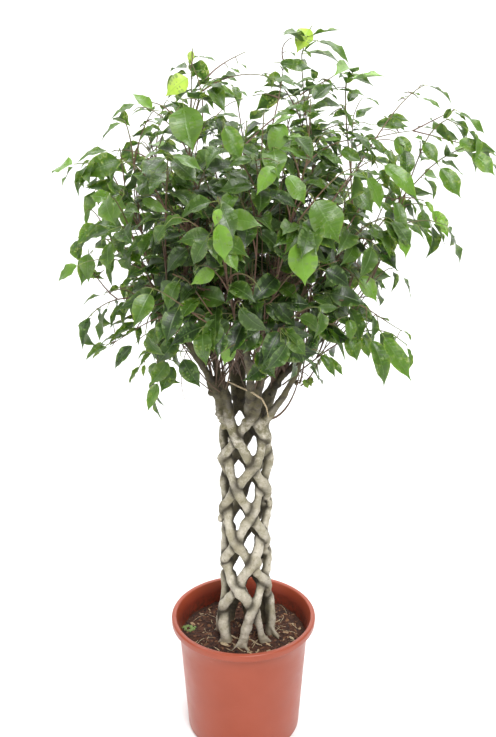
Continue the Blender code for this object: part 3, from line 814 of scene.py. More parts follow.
# Bare twigs by the foot of the crown: their points
BARE_TWIGS = (
    ((-0.075, -0.085, 0.815), (-0.109, -0.100, 0.756), (-0.102, -0.100, 0.719), (-0.088, -0.100, 0.682)),
    ((0.050, -0.012, 0.634), (0.071, -0.014, 0.640), (0.090, -0.010, 0.672), (0.097, -0.004, 0.712)),
    ((0.098, 0.002, 0.694), (0.104, -0.008, 0.715), (0.103, -0.014, 0.748), (0.112, -0.022, 0.790)),
    ((0.088, 0.004, 0.700), (0.086, -0.010, 0.735), (0.092, -0.018, 0.775), (0.084, -0.030, 0.815)),
    ((0.100, 0.000, 0.690), (0.124, -0.010, 0.712), (0.134, -0.014, 0.752), (0.150, -0.020, 0.800)),
    ((-0.040, -0.030, 0.690), (-0.070, -0.040, 0.715), (-0.096, -0.050, 0.765), (-0.120, -0.060, 0.830)),
    ((-0.044, -0.020, 0.680), (-0.082, -0.030, 0.712), (-0.118, -0.034, 0.750), (-0.150, -0.030, 0.800)),
)

# Where the twigs of the crown's middle show between its leaves: pixels across and down, and
# reach in pixels, all seen on the upright plane y = WINDOW_Y
WINDOW_Y = -0.15
WINDOWS = [
    seen_round(*window, WINDOW_Y)
    for window in (
        (188, 245, 18),
        (183, 275, 9),
        (205, 300, 10),
        (232, 290, 15),
        (258, 258, 10),
        (278, 285, 19),
        (304, 292, 12),
        (270, 338, 14),
    )
]

# Parts of the crown that have few leaves, all through: pixels across and down, and reach in
# pixels of CROWN_PIXEL each, seen on the upright plane y = GAP_Y
GAP_Y = -0.02
CROWN_PIXEL = 0.00163
GAPS = [
    (*seen_round(across, down, reach, GAP_Y)[:2], round(CROWN_PIXEL * reach, 3))
    for across, down, reach in (
        (382, 268, 26),
        (374, 306, 20),
        (118, 264, 20),
        (100, 302, 18),
        (84, 330, 20),
        (128, 143, 16),
        (124, 122, 12),
        (420, 185, 14),
        (255, 76, 10),
        (255, 105, 10),
        (207, 106, 9),
        (334, 346, 10),
        (80, 232, 9),
    )
]
BARE_RADII = (0.0008, 0.0022, 0.0020, 0.0016, 0.0017, 0.0014, 0.0012)
CAD_LOW, CAD_HIGH = (Vector(corner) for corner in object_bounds())


def edge_leaf_ends(across, down, tip_across, tip_down, depth):
    """The root and the tip of a leaf of the crown's edge."""
    return seen_at(across, down, depth), seen_at(tip_across, tip_down, depth - TIP_NEARER)


def blade_number(form, width):
    """A form's blade: each has a usual one and its mirror image, a slim and a broad one."""
    return 2 * form if width == USUAL else (1 + width) * KINDS + form


def leaf_matrix(root, aim, normal):
    """The matrix of a leaf from its root, the way along its blade and out of its face."""
    turn = Matrix((aim.cross(normal).normalized(), aim, normal)).transposed()
    return Matrix.Translation(root) @ turn.to_4x4()


def edge_leaf(root, tip, look, tint):
    """A leaf of the crown's edge, in its place: (frame, length, blade, tint).

    Its face turns outwards with its side of the crown. An arched blade sets out above the
    straight way to its tip, and is longer than that way.
    """
    aim = (tip - root).normalized()
    face, width = look
    face = Vector(face) + Vector((EDGE_TURN * root.x, 0.0, 0.0))
    normal = (face - aim * face.dot(aim)).normalized()
    form = int(1000 * abs(root.x)) % KINDS
    aim = (aim + normal * EDGE_LIFT * BLADE_FORMS[form][0]).normalized()
    normal = (normal - aim * normal.dot(aim)).normalized()
    size = max(SHORTEST_LEAF, EDGE_ARCH * (tip - root).length - PETIOLE)
    return leaf_matrix(root, aim, normal), size, blade_number(form, width), tint


def crown_targets(draw):
    """Points spread evenly over three shells of the crown, for the side twigs' tips."""
    golden = math.pi * (3.0 - math.sqrt(5.0))
    for count, scale in SIDE_TWIG_SHELLS:
        for k in range(count):
            lift = -0.86 + 1.84 * (k + 0.5) / count
            level = math.asin(min(0.99, lift))
            azimuth = k * golden + draw.uniform(-0.2, 0.2)
            reach = scale * draw.uniform(0.90, 1.06)
            tall = CROWN_UP if lift > 0 else CROWN_DOWN
            out = around(azimuth, CROWN_RADIUS * math.cos(level) * reach, 0.0)
            yield CROWN_CENTRE + out + UP * tall * math.sin(level) * reach


def grow_side_twigs(shoots, draw):
    """Twigs from the shoots towards the targets, as evenly numbered points."""
    bases = []
    for shoot in shoots:
        for k in range(14):
            place, heading = along(shoot["twig"], 0.10 + 0.84 * k / 13)
            bases.append((place, heading))
    twigs = []
    for target in crown_targets(draw):
        best = None
        for place, heading in bases:
            way = target - place
            span = way.length
            if span < SIDE_TWIG_SPAN[0]:
                continue
            turn = 1.0 - heading.dot(way) / span
            cost = abs(span - 0.10) + 0.05 * turn + 0.4 * max(0.0, place.z - target.z)
            if best is None or cost < best[0]:
                best = (cost, place, heading, way)
        _, place, heading, way = best
        span = min(way.length, SIDE_TWIG_SPAN[1])
        way = way.normalized() * span
        tip = place + way
        out = Vector((way.x, way.y, 0.0))
        droop = draw.uniform(0.05, 0.24)
        first = place + (heading * 0.5 + way.normalized() * 0.5 + UP * 0.25) * span * 0.38
        last = tip - out * 0.22 + UP * droop * span
        twigs.append(curve((place, first, last, tip), 8))
    return twigs


def grow_inner_twigs(stems, draw):
    """Bare brown twigs that rise from the branches through the crown's middle."""
    twigs = []
    for number in range(INNER_TWIGS):
        points, _ = draw.choice(stems)
        root = points[draw.randrange(len(points) - len(BRANCH_PARTS), len(points))]
        turn = math.atan2(root.x, -root.y) + draw.gauss(0.0, 0.5)
        wide = draw.uniform(0.045, 0.175)
        tip = around(turn, wide, draw.uniform(0.86, 1.12)) + TRUNK_MIDDLE
        if number % 2:
            x, z, reach = WINDOWS[number // 2 % len(WINDOWS)]
            seen = Vector((draw.gauss(x, reach), WINDOW_Y, z + draw.uniform(0.0, 0.08)))
            share = (draw.uniform(-0.20, -0.07) - CAMERA_PLACE.y) / (WINDOW_Y - CAMERA_PLACE.y)
            tip = CAMERA_PLACE.lerp(seen, share)
        rise = tip.z - root.z
        first = root + (tip - root) * 0.30 + UP * rise * draw.uniform(-0.10, 0.12)
        last = root + (tip - root) * 0.72 + UP * rise * draw.uniform(0.02, 0.16)
        path = curve((root, first, last, tip), 8)
        for k in range(2, 9):
            path[k] += Vector([draw.gauss(0.0, 0.0016) for _ in range(3)])
        twigs.append(path)
    return twigs


def leaf_tint(place, draw):
    """How light a leaf is: the outer and upper ones are lighter, partly as painted light, the inner and
    lower ones darker, partly as painted shade, and a few are young.
    """
    out = place - CROWN_CENTRE
    shell = math.sqrt((out.x**2 + out.y**2) / CROWN_RADIUS**2 + (out.z / CROWN_UP) ** 2)
    # darker inwards: older leaves, and painted shade
    tint = 0.34 * smooth((shell - 0.35) / 0.75) + draw.gauss(0.0, 0.13)
    # painted light: lighter towards the crown's top and its outer edge
    tint += 0.10 * smooth(0.5 + out.z / CROWN_UP) + 0.10 * smooth((shell - 0.85) / 0.3) - 0.04
    if shell > 0.8 and draw.random() < 0.05 and place.x > -0.22:
        tint = draw.uniform(0.48, 0.72)
    # painted shade: below the crown's top no leaf is lighter than 0.42
    return min(1.0 if place.z > 0.92 else 0.42, max(0.0, tint))


def show_leaf(middle, aim, face, size, blade, tint):
    """A leaf that stands out, in its place: (frame, length, blade, tint)."""
    aim = Vector(aim).normalized()
    face = Vector(face)
    normal = (face - aim * face.dot(aim)).normalized()
    root = Vector(middle) - aim * (PETIOLE + 0.5 * size)
    return leaf_matrix(root, aim, normal), size, blade, tint


def open_share(x, z, places):
    """How far a point lies inside the nearest of the open places, 0 to 1."""
    return max(
        smooth((1.5 * reach + 0.005 - math.hypot(x - middle_x, z - middle_z)) / (0.6 * reach))
        for middle_x, middle_z, reach in places
    )


def window_share(place):
    """How far a place in the front of the crown hides the twigs of its middle."""
    if place.y > -0.03:
        return 0.0
    share = (WINDOW_Y - CAMERA_PLACE.y) / (place.y - CAMERA_PLACE.y)
    seen = CAMERA_PLACE.lerp(place, share)
    return open_share(seen.x, seen.z, WINDOWS)


def leaf_cover(place):
    """The share of leaves kept at a place: fewer low down and at the left edge."""
    low = 0.55 + 0.45 * smooth((place.z - 0.82) / 0.17)
    middle = smooth((0.125 - abs(place.x)) / 0.05) * smooth((0.850 - place.z) / 0.05)
    left = smooth((-0.12 - place.x) / 0.08) * smooth((1.03 - place.z) / 0.10)
    clear = max(open_share(place.x, place.z, GAPS), window_share(place))
    return low * (1.0 - 0.60 * left) * (1.0 - 0.85 * middle) * (1.0 - 0.92 * clear)


def inside_frame(points):
    margin = Vector((0.012, 0.012, 0.012))
    low, high = CAD_LOW - margin, CAD_HIGH + margin
    return all(all(low[k] < p[k] < high[k] for k in range(3)) for p in points)


def extra_leaves(path, first, spacing, kept, draw):
    """Leaves along a twig, skipping those that would crowd one another."""
    length = sum((b - a).length for a, b in zip(path, path[1:]))
    count = max(2, int(length * (1.0 - first) / spacing))
    for k in range(count + 1):
        share = first + (0.99 - first) * k / count
        place, heading = along(path, share)
        side = -1 if k % 2 else 1
        high = smooth((place.z - 1.05) / 0.13)
        for _ in range(6):
            hang = leaf_hang(place, draw) * (1.0 - 0.70 * high)
            frame_here = leaf_frame(place, heading, side, hang, draw)
            size = LEAF_LENGTH * draw.uniform(0.66, 1.14) * (1.0 - 0.18 * high)
            middle = frame_here @ Vector((0.0, PETIOLE + 0.5 * size, -0.1 * size))
            ends = [frame_here @ Vector((0.0, PETIOLE + size, -0.2 * size)), middle]
            near = any((middle - other).length < LEAF_ROOM for other in kept)
            if draw.random() > leaf_cover(middle):
                break
            if inside_frame(ends) and not near and not in_bare_middle(middle):
                kept.append(middle)
                blade = draw.randrange(2 * KINDS)
                if draw.random() < 0.15 + 0.55 * high:
                    blade = 2 * KINDS + blade % KINDS
                yield frame_here, size, blade, leaf_tint(place, draw)
                break


def deep_leaves(path, draw):
    """Old dark leaves inside the crown, darkened partly as painted shade."""
    for share in DEEP_SHARES:
        place, heading = along(path, share)
        side = draw.choice((-1, 1))
        frame_here = leaf_frame(place, heading, side, leaf_hang(place, draw), draw)
        size = LEAF_LENGTH * draw.uniform(0.70, 1.05)
        middle = frame_here @ Vector((0.0, PETIOLE + 0.5 * size, -0.1 * size))
        hides = draw.random() < 0.95 * window_share(middle)
        if middle.z > DEEP_FLOOR and not hides and not in_bare_middle(middle):
            blade = draw.randrange(2 * KINDS)
            # near-black tints: old leaves, and painted shade deep in the crown
            yield frame_here, size, blade, draw.uniform(0.0, 0.16)


class Growth:
    """The whole plant, grown once."""

    def __init__(self):
        draw = random.Random(SEED)
        self.stems = stem_paths()
        self.shoots, wood = grow_shoots(self.stems, draw)
        grow_leaves(self.shoots, wood, draw)
        draw = random.Random(SEED + 1)
        self.side_twigs = grow_side_twigs(self.shoots, draw)
        self.inner_twigs = grow_inner_twigs(self.stems, draw)
        self.leaves = [[] for _ in range(CROWN_SECTORS)]
        self.nodes = [[] for _ in range(CROWN_SECTORS)]
        shown = [show_leaf(*leaf) for leaf in SHOW_LEAVES]
        ends = [edge_leaf_ends(*row[:5]) for row in OUTER_LEAVES]
        shown += [edge_leaf(*pair, *row[5:]) for pair, row in zip(ends, OUTER_LEAVES)]
        self.outer_twigs = [curve(seen_path(*row), 10) for row in OUTER_TWIGS]
        kept = [root.lerp(tip, 0.25 + 0.25 * k) for root, tip in ends for k in range(3)]
        for middle, _, face, size, _, _ in SHOW_LEAVES:
            out = Vector(face).normalized()
            kept += [Vector(middle) + out * 0.014 * k for k in range(5)]
        for leaf in shown:
            self.leaves[self.sector_of(leaf[0].translation)].append(leaf)
        self.show_twigs = [self.carry(leaf[0]) for leaf in shown]
        for number, shoot in enumerate(self.shoots, 1):
            sector = self.sector_of(shoot["twig"][-1])
            self.nodes[sector].append(f"leafy_shoot_{number:02d}")
            for frame_here, size, form in shoot["leaves"]:
                kept.append(frame_here @ Vector((0.0, PETIOLE + 0.5 * size, -0.1 * size)))
                tint = leaf_tint(frame_here.translation, draw)
                self.leaves[sector].append((frame_here, size, 2 * form, tint))
        for shoot in self.shoots:
            found = extra_leaves(shoot["twig"], 0.22, 0.030, kept, draw)
            self.leaves[self.sector_of(shoot["twig"][-1])] += found
        for twig in self.side_twigs:
            found = extra_leaves(twig, 0.20, INTERNODE, kept, draw)
            self.leaves[self.sector_of(twig[-1])] += found
        for twig in self.inner_twigs:
            found = deep_leaves(twig, draw)
            self.leaves[self.sector_of(twig[-1])] += found

    def carry(self, frame_here):
        """A short twig from the nearest wood to a leaf that stands out."""
        root = frame_here.translation
        paths = [shoot["twig"] for shoot in self.shoots] + self.side_twigs + self.outer_twigs
        ways = [along(path, k / 12)[0] for path in paths for k in range(1, 12)]
        start = min(ways, key=lambda place: (place - root).length + 0.5 * max(0, place.z - root.z))
        middle = start.lerp(root, 0.5) + UP * 0.15 * (root - start).length
        return curve((start, middle, middle, root), 6)

    @staticmethod
    def sector_of(place):
        turn = math.atan2(place.x - CROWN_CENTRE.x, -place.y) / (2 * math.pi)
        return int((turn % 1.0) * CROWN_SECTORS) % CROWN_SECTORS


grown = []


def growth():
    if not grown:
        grown.append(Growth())
    return grown[0]


# Sizes and colours that a user would change


def colour(name, description, default):
    return FloatVectorProperty(
        name=name,
        description=description,
        subtype="COLOR",
        size=3,
        min=0.0,
        max=1.0,
        default=default,
    )


class FigPotSettings(bpy.types.PropertyGroup):
    plastic: colour("Plastic", "Colour of the pot's plastic", (0.322, 0.056, 0.021))
    sides: IntProperty(name="Sides", description="Segments round the pot", default=128, min=32)


class FigMixSettings(bpy.types.PropertyGroup):
    damp: colour("Damp mix", "Colour of the mix in its hollows", (0.017, 0.0055, 0.0022))
    crumb: colour("Crumbs", "Colour of the mix on its crumbs", (0.085, 0.027, 0.010))
    chips: IntProperty(name="Chips", description="Chips per square metre", default=30000, min=0)
    fibres: IntProperty(name="Fibres", description="Fibres on the mix", default=30, min=0)


class FigTrunkSettings(bpy.types.PropertyGroup):
    pale: colour("Pale bark", "Colour of the bark on the weave", (0.640, 0.590, 0.490))
    # painted shade for the crevices where the stems cross
    shade: colour("Shaded bark", "Colour of the bark in the crossings", (0.036, 0.028, 0.014))
    # darker branch bark, partly painted shade under the crown
    high: colour("Branch bark", "Colour of the bark above the weave", (0.030, 0.022, 0.011))
    voxel: FloatProperty(
        name="Voxel",
        description="Grain of the trunk's mesh",
        default=0.00216,
        min=0.001,
        subtype="DISTANCE",
        unit="LENGTH",
    )


class FigCrownSettings(bpy.types.PropertyGroup):
    # the darkest leaves: old leaves, and painted shade inside the crown
    old_shaded_leaf: colour("Old leaf", "Colour of the darkest leaves", (0.011, 0.027, 0.004))
    grown: colour("Grown leaf", "Colour of a usual leaf", (0.046, 0.104, 0.006))
    # lighter leaves: partly painted light at the crown's top and edge
    light: colour("Light leaf", "Colour of the outer leaves", (0.165, 0.330, 0.030))
    young: colour("Young leaf", "Colour of a newly opened leaf", (0.41, 0.61, 0.070))
    leaf_size: FloatProperty(
        name="Leaf size", description="Size of each leaf beside its own", default=1.0, min=0.1
    )


class FigStageSettings(bpy.types.PropertyGroup):
    floor: colour("Floor", "Colour of the floor and backdrop", (0.93, 0.93, 0.93))
    key: FloatProperty(
        name="Key light",
        description="Power of the large lamp at the front left",
        default=113.0,
        min=0.0,
        subtype="POWER",
        unit="POWER",
    )
    sky: FloatProperty(
        name="Sky", description="Strength of the light from all round", default=0.42, min=0.0
    )


class FigSettings(bpy.types.PropertyGroup):
    pot: PointerProperty(type=FigPotSettings)
    mix: PointerProperty(type=FigMixSettings)
    trunk: PointerProperty(type=FigTrunkSettings)
    crown: PointerProperty(type=FigCrownSettings)
    stage: PointerProperty(type=FigStageSettings)


# Node trees


def put(tree, node, inputs):
    """Links or sets a node's inputs."""
    for name, value in inputs.items():
        if isinstance(value, bpy.types.NodeSocket):
            tree.links.new(value, node.inputs[name])
        else:
            node.inputs[name].default_value = value


def add(tree, kind, inputs=None, **options):
    """Adds a node, sets its options, and links or sets its inputs."""
    node = tree.nodes.new(kind)
    for name, value in options.items():
        setattr(node, name, value)
    put(tree, node, inputs or {})
    return node


def calc(tree, operation, first, second=0.0, third=0.0, clamp=False):
    inputs = {0: first, 1: second, 2: third}
    return add(tree, "ShaderNodeMath", inputs, operation=operation, use_clamp=clamp).outputs[0]


def times(tree, first, second):
    return calc(tree, "MULTIPLY", first, second)


def ramp(tree, factor, stops):
    node = add(tree, "ShaderNodeValToRGB", {"Fac": factor})
    elements = node.color_ramp.elements
    while len(elements) < len(stops):
        elements.new(0.5)
    for element, (place, value) in zip(elements, stops):
        element.position = place
        element.color = (*value, 1.0)
    return node.outputs["Color"]


def blend(tree, factor, first, second, how="MIX"):
    """Mixes two colours, each a socket or a tuple."""
    first, second = (
        (*value, 1.0) if isinstance(value, tuple) else value for value in (first, second)
    )
    inputs = {0: factor, 6: first, 7: second}
    return add(tree, "ShaderNodeMix", inputs, data_type="RGBA", blend_type=how).outputs[2]


def spread(tree, value, low, high, to_low=0.0, to_high=1.0):
    """The value stretched from one range to another, and kept inside it."""
    inputs = {
        "Value": value,
        "From Min": low,
        "From Max": high,
        "To Min": to_low,
        "To Max": to_high,
    }
    return add(tree, "ShaderNodeMapRange", inputs).outputs[0]


def mottle(tree, place, scale, detail=4.0, roughness=0.55):
    inputs = {"Vector": place, "Scale": scale, "Detail": detail, "Roughness": roughness}
    return add(tree, "ShaderNodeTexNoise", inputs).outputs["Fac"]


def stretched(tree, scale=(1.0, 1.0, 1.0)):
    """Object coordinates, stretched by the scale."""
    place = add(tree, "ShaderNodeTexCoord").outputs["Object"]
    return add(tree, "ShaderNodeMapping", {"Vector": place, "Scale": scale}).outputs[0]


def own(tree, name):
    return add(tree, "ShaderNodeAttribute", attribute_name=name).outputs["Fac"]


def start_material(name):
    made = bpy.data.materials.new(name)
    made.use_nodes = True
    return made, made.node_tree


def coated(made, base, rough, relief=None, others=None):
    """Gives a material its colour, roughness and relief: a height, its strength and distance."""
    tree = made.node_tree
    surface = tree.nodes["Principled BSDF"]
    put(tree, surface, {"Base Color": base, "Roughness": rough, **(others or {})})
    if relief:
        inputs = dict(zip(("Height", "Strength", "Distance"), relief))
        tree.links.new(add(tree, "ShaderNodeBump", inputs).outputs[0], surface.inputs["Normal"])
    return made


def pot_plastic(plastic):
    """Moulded plastic: a satin skin with scuffs, dust and splashes of mix inside, and painted shade on
    the inner wall and floor.
    """
    made, tree = start_material("moulded_pot_plastic")
    place = stretched(tree)
    split = add(tree, "ShaderNodeSeparateXYZ", {0: place})
    cloud = mottle(tree, place, 9.0, 3.0)
    inner = own(tree, "inside")
    plain = tuple(plastic)
    worn = tuple(min(1.0, 1.22 * c + 0.02) for c in plastic)
    base = blend(tree, spread(tree, cloud, 0.35, 0.75, 0.0, 0.5), plain, worn)
    scuffs = mottle(tree, stretched(tree, (14.0, 14.0, 190.0)), 1.0, 5.0, 0.7)
    base = blend(tree, spread(tree, scuffs, 0.66, 0.80, 0.0, 0.30), base, (0.60, 0.26, 0.18))
    low = spread(tree, split.outputs[2], MIX_TOP + 0.030, MIX_TOP + 0.002)
    splash = spread(tree, mottle(tree, place, 160.0, 6.0), 0.40, 0.60)
    dirt = times(tree, times(tree, inner, low), splash)
    # painted shade: the inner wall and floor darkened towards deep red
    base = blend(tree, times(tree, inner, 0.72), base, (0.165, 0.022, 0.013))
    base = blend(tree, times(tree, dirt, 0.85), base, (0.05, 0.022, 0.013))
    rough = spread(tree, mottle(tree, place, 34.0, 5.0), 0.3, 0.7, 0.30, 0.42)
    return coated(made, base, rough, (mottle(tree, place, 420.0, 3.0), 0.12, 0.0006))


def potting_mix_finish(damp, crumb):
    """Dark damp peat with redder crumbs."""
    made, tree = start_material("damp_potting_mix")
    place = stretched(tree)
    broad = mottle(tree, place, 26.0, 4.0)
    fine = mottle(tree, place, 210.0, 8.0, 0.7)
    both = calc(tree, "ADD", times(tree, broad, 0.4), times(tree, fine, 0.6))
    base = blend(tree, spread(tree, both, 0.40, 0.62), tuple(damp), tuple(crumb))
    specks = add(tree, "ShaderNodeTexVoronoi", {"Vector": place, "Scale": 330.0})
    pale = spread(tree, specks.outputs["Distance"], 0.22, 0.10, 0.0, 0.55)
    few = spread(tree, mottle(tree, place, 60.0, 2.0), 0.56, 0.64)
    base = blend(tree, times(tree, pale, few), base, (0.34, 0.22, 0.12))
    return coated(made, base, 0.93, (fine, 0.9, 0.0025))


def litter_finish():
    """Bark chips and dry scraps, from dark red-brown to tan."""
    made, tree = start_material("bark_litter")
    place = stretched(tree)
    stops = (
        (0.0, (0.028, 0.012, 0.008)),
        (0.45, (0.100, 0.035, 0.016)),
        (0.80, (0.24, 0.11, 0.048)),
        (1.0, (0.50, 0.37, 0.22)),
    )
    base = ramp(tree, own(tree, "tint"), stops)
    grain = mottle(tree, place, 500.0, 4.0)
    base = blend(tree, 0.55, base, blend(tree, grain, (0.25,) * 3, (1.0,) * 3), "MULTIPLY")
    return coated(made, base, 0.88, (grain, 0.5, 0.0008))


def moss_finish():
    """A tuft of moss: yellow-green tips over dark green."""
    made, tree = start_material("moss_tuft")
    place = stretched(tree)
    fine = mottle(tree, place, 700.0, 5.0, 0.7)
    base = blend(tree, spread(tree, fine, 0.35, 0.65), (0.050, 0.090, 0.018), (0.30, 0.42, 0.12))
    return coated(made, base, 0.9, (fine, 0.8, 0.0015), {"Sheen Weight": 0.2})


def bark_finish(pale, shade, high):
    """Pale grey bark with wrinkles, pores and lichen, with painted shade where stems have fused and on
    faces turned inwards, and darker above the weave, partly as painted shade.
    """
    made, tree = start_material("woven_stem_bark")
    place = stretched(tree)
    height = add(tree, "ShaderNodeSeparateXYZ", {0: place}).outputs[2]
    broad = mottle(tree, place, 30.0, 5.0, 0.62)
    fine = mottle(tree, place, 190.0, 6.0, 0.65)
    wrinkle = mottle(tree, stretched(tree, (60.0, 60.0, 330.0)), 1.0, 4.0, 0.6)
    streak = mottle(tree, stretched(tree, (150.0, 150.0, 30.0)), 1.0, 4.0, 0.6)
    middle = (0.385, 0.345, 0.240)
    olive = (0.155, 0.140, 0.062)
    base = blend(tree, spread(tree, broad, 0.36, 0.60), middle, tuple(pale))
    base = blend(tree, spread(tree, streak, 0.50, 0.70, 0.0, 0.50), base, middle)
    upper = spread(tree, height, 0.40, 0.64, 0.10, 0.92)
    lichen = spread(tree, mottle(tree, place, 62.0, 6.0, 0.7), 0.42, 0.56)
    base = blend(tree, times(tree, lichen, upper), base, olive)
    base = blend(tree, spread(tree, fine, 0.54, 0.68, 0.0, 0.60), base, olive)
    cells = {"Vector": stretched(tree, (190.0, 190.0, 420.0)), "Scale": 1.0}
    pores = add(tree, "ShaderNodeTexVoronoi", cells).outputs["Distance"]
    base = blend(tree, spread(tree, pores, 0.17, 0.06, 0.0, 0.6), base, (0.10, 0.08, 0.045))
    # painted shade: bark faces turned inwards or sideways on the weave darken to near black
    painted_inner_shade = blend(tree, lichen, (0.030, 0.023, 0.012), (0.080, 0.068, 0.034))
    base = blend(tree, own(tree, "inner"), base, painted_inner_shade)
    # painted shade: the crevices where stems cross and fuse
    base = blend(tree, own(tree, "crossing"), base, tuple(shade))
    # bark above the weave: darker bark, deepened as painted shade under the crown
    high = blend(tree, lichen, tuple(high), (0.110, 0.095, 0.049))
    base = blend(tree, own(tree, "branch"), base, high)
    base = blend(tree, own(tree, "foot"), base, (0.19, 0.155, 0.10))
    rough = spread(tree, broad, 0.3, 0.7, 0.70, 0.88)
    relief = calc(tree, "ADD", wrinkle, times(tree, streak, 0.6))
    relief = calc(tree, "MULTIPLY_ADD", fine, 0.9, relief)
    return coated(made, base, rough, (relief, 0.85, 0.0020))


def twig_finish():
    """Red-brown wood that turns green towards the twig's tip."""
    made, tree = start_material("twig_skin")
    place = stretched(tree)
    stops = (
        (0.0, (0.120, 0.080, 0.050)),
        (0.50, (0.145, 0.075, 0.046)),
        (0.85, (0.110, 0.115, 0.035)),
        (1.0, (0.130, 0.200, 0.045)),
    )
    base = ramp(tree, own(tree, "age"), stops)
    spots = mottle(tree, place, 260.0, 4.0)
    base = blend(tree, spread(tree, spots, 0.5, 0.7, 0.0, 0.5), base, (0.24, 0.19, 0.13))
    return coated(made, base, 0.62, (spots, 0.3, 0.0004))


def leaf_finish(old_shaded_leaf, usual, light, young):
    """Leaf: glossy above with a paler midrib and fine side veins, dull and paler below.

    The blade's own map runs 0 to 1 across and along it, 2 more across on the underside, and
    4 more on the stalk.
    """
    made, tree = start_material("fig_leaf_blade")
    chart = add(tree, "ShaderNodeUVMap", uv_map="blade")
    split = add(tree, "ShaderNodeSeparateXYZ", {0: chart.outputs[0]})
    under = calc(tree, "GREATER_THAN", split.outputs[0], 1.5)
    stalk = calc(tree, "GREATER_THAN", split.outputs[0], 3.5)
    across = calc(tree, "MODULO", split.outputs[0], 2.0)
    side = times(tree, calc(tree, "ABSOLUTE", calc(tree, "SUBTRACT", across, 0.5)), 2.0)
    rib = spread(tree, side, 0.085, 0.03)
    slant = calc(tree, "SUBTRACT", times(tree, split.outputs[1], 12.0), side)
    wave = calc(tree, "SINE", times(tree, slant, 2 * math.pi))
    vein = spread(tree, wave, 0.80, 1.0)
    # the darkest stop serves partly as painted shade inside the crown, the lighter ones partly as
    # painted light at its top and edge
    stops = ((0.0, tuple(old_shaded_leaf)), (0.40, tuple(usual)), (0.80, tuple(light)), (1.0, tuple(young)))
    base = ramp(tree, own(tree, "tint"), stops)
    place = stretched(tree)
    cloud = spread(tree, mottle(tree, place, 32.0, 2.0), 0.3, 0.7, 0.80, 1.18)
    tone = add(tree, "ShaderNodeCombineXYZ", {0: cloud, 1: cloud, 2: cloud}).outputs[0]
    base = blend(tree, 1.0, base, tone, "MULTIPLY")
    edge = spread(tree, side, 0.55, 1.0, 0.0, 0.12)
    base = blend(tree, edge, base, tuple(light))
    pale = tuple(min(1.0, 0.75 * c + 0.05) for c in light)
    base = blend(tree, times(tree, vein, 0.07), base, pale)
    base = blend(tree, times(tree, rib, 0.28), base, pale)
    back = blend(tree, 0.55, base, (0.115, 0.190, 0.060))
    base = blend(tree, under, base, back)
    base = blend(tree, stalk, base, (0.20, 0.26, 0.06))
    rough = spread(tree, mottle(tree, place, 60.0, 3.0), 0.3, 0.7, 0.24, 0.42)
    rough = calc(tree, "MULTIPLY_ADD", under, 0.22, rough)
    grooves = times(tree, vein, -0.35)
    height = calc(tree, "ADD", times(tree, rib, -0.8), grooves)
    glow = {
        "Subsurface Weight": 0.26,
        "Subsurface Radius": (0.7, 1.0, 0.3),
        "Subsurface Scale": 0.002,
    }
    return coated(made, base, rough, (height, 0.35, 0.0009), glow)


def dry_twig_finish():
    made, tree = start_material("dry_twig_skin")
    grain = mottle(tree, stretched(tree), 300.0, 4.0)
    base = blend(tree, spread(tree, grain, 0.3, 0.7), (0.30, 0.22, 0.12), (0.62, 0.51, 0.33))
    return coated(made, base, 0.8, (grain, 0.4, 0.0005))


def stage_finish(tone):
    made, tree = start_material("studio_floor")
    cloud = mottle(tree, stretched(tree), 3.0, 3.0)
    low = tuple(0.985 * c for c in tone)
    base = blend(tree, spread(tree, cloud, 0.3, 0.7), low, tuple(tone))
    return coated(made, base, 0.9)


# Meshes


def link(name, mesh):
    made = bpy.data.objects.new(name, mesh)
    bpy.context.scene.collection.objects.link(made)
    return made


def mesh_of(shape, name):
    """A mesh of a finished shape."""
    mesh = bpy.data.meshes.new(name)
    shape.to_mesh(mesh)
    shape.free()
    return mesh


def mesh_piece(name, points, faces):
    mesh = bpy.data.meshes.new(name)
    mesh.from_pydata([tuple(p) for p in points], [], faces)
    mesh.update()
    return link(name, mesh)


def settle(piece, smooth_angle=40.0, nodes=()):
    """Makes a piece plain, smooth and part of the plant."""
    graph = bpy.context.evaluated_depsgraph_get()
    mesh = bpy.data.meshes.new_from_object(piece.evaluated_get(graph))
    piece.modifiers.clear()
    piece.data = mesh
    mesh.shade_smooth()
    mesh.set_sharp_from_angle(angle=math.radians(smooth_angle))
    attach(piece, "root")
    if nodes:
        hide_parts(*nodes)
    return piece


def store(mesh, name, values, kind="FLOAT"):
    """Keeps one value for each point of the mesh."""
    made = mesh.attributes.new(name, kind, "POINT")
    key = "vector" if kind == "FLOAT_VECTOR" else "value"
    made.data.foreach_set(key, np.asarray(values, dtype=np.float32 if kind != "INT" else np.int32))


def geometry_tree(name, inputs):
    """A geometry node tree with the named inputs, and its two ends."""
    tree = bpy.data.node_groups.new(name, "GeometryNodeTree")
    face = tree.interface
    face.new_socket("Geometry", in_out="INPUT", socket_type="NodeSocketGeometry")
    for label, kind in inputs:
        face.new_socket(label, in_out="INPUT", socket_type="NodeSocket" + kind)
    face.new_socket("Geometry", in_out="OUTPUT", socket_type="NodeSocketGeometry")
    return tree, tree.nodes.new("NodeGroupInput"), tree.nodes.new("NodeGroupOutput")


def use_tree(piece, tree, **values):
    """Puts the tree on a piece and sets its named inputs."""
    modifier = piece.modifiers.new(tree.name, "NODES")
    modifier.node_group = tree
    for item in tree.interface.items_tree:
        if item.in_out == "INPUT" and item.name in values:
            modifier[item.identifier] = values[item.name]
    return modifier


def kept_value(tree, name, kind="FLOAT"):
    made = add(tree, "GeometryNodeInputNamedAttribute", {"Name": name}, data_type=kind)
    return made.outputs["Attribute"]


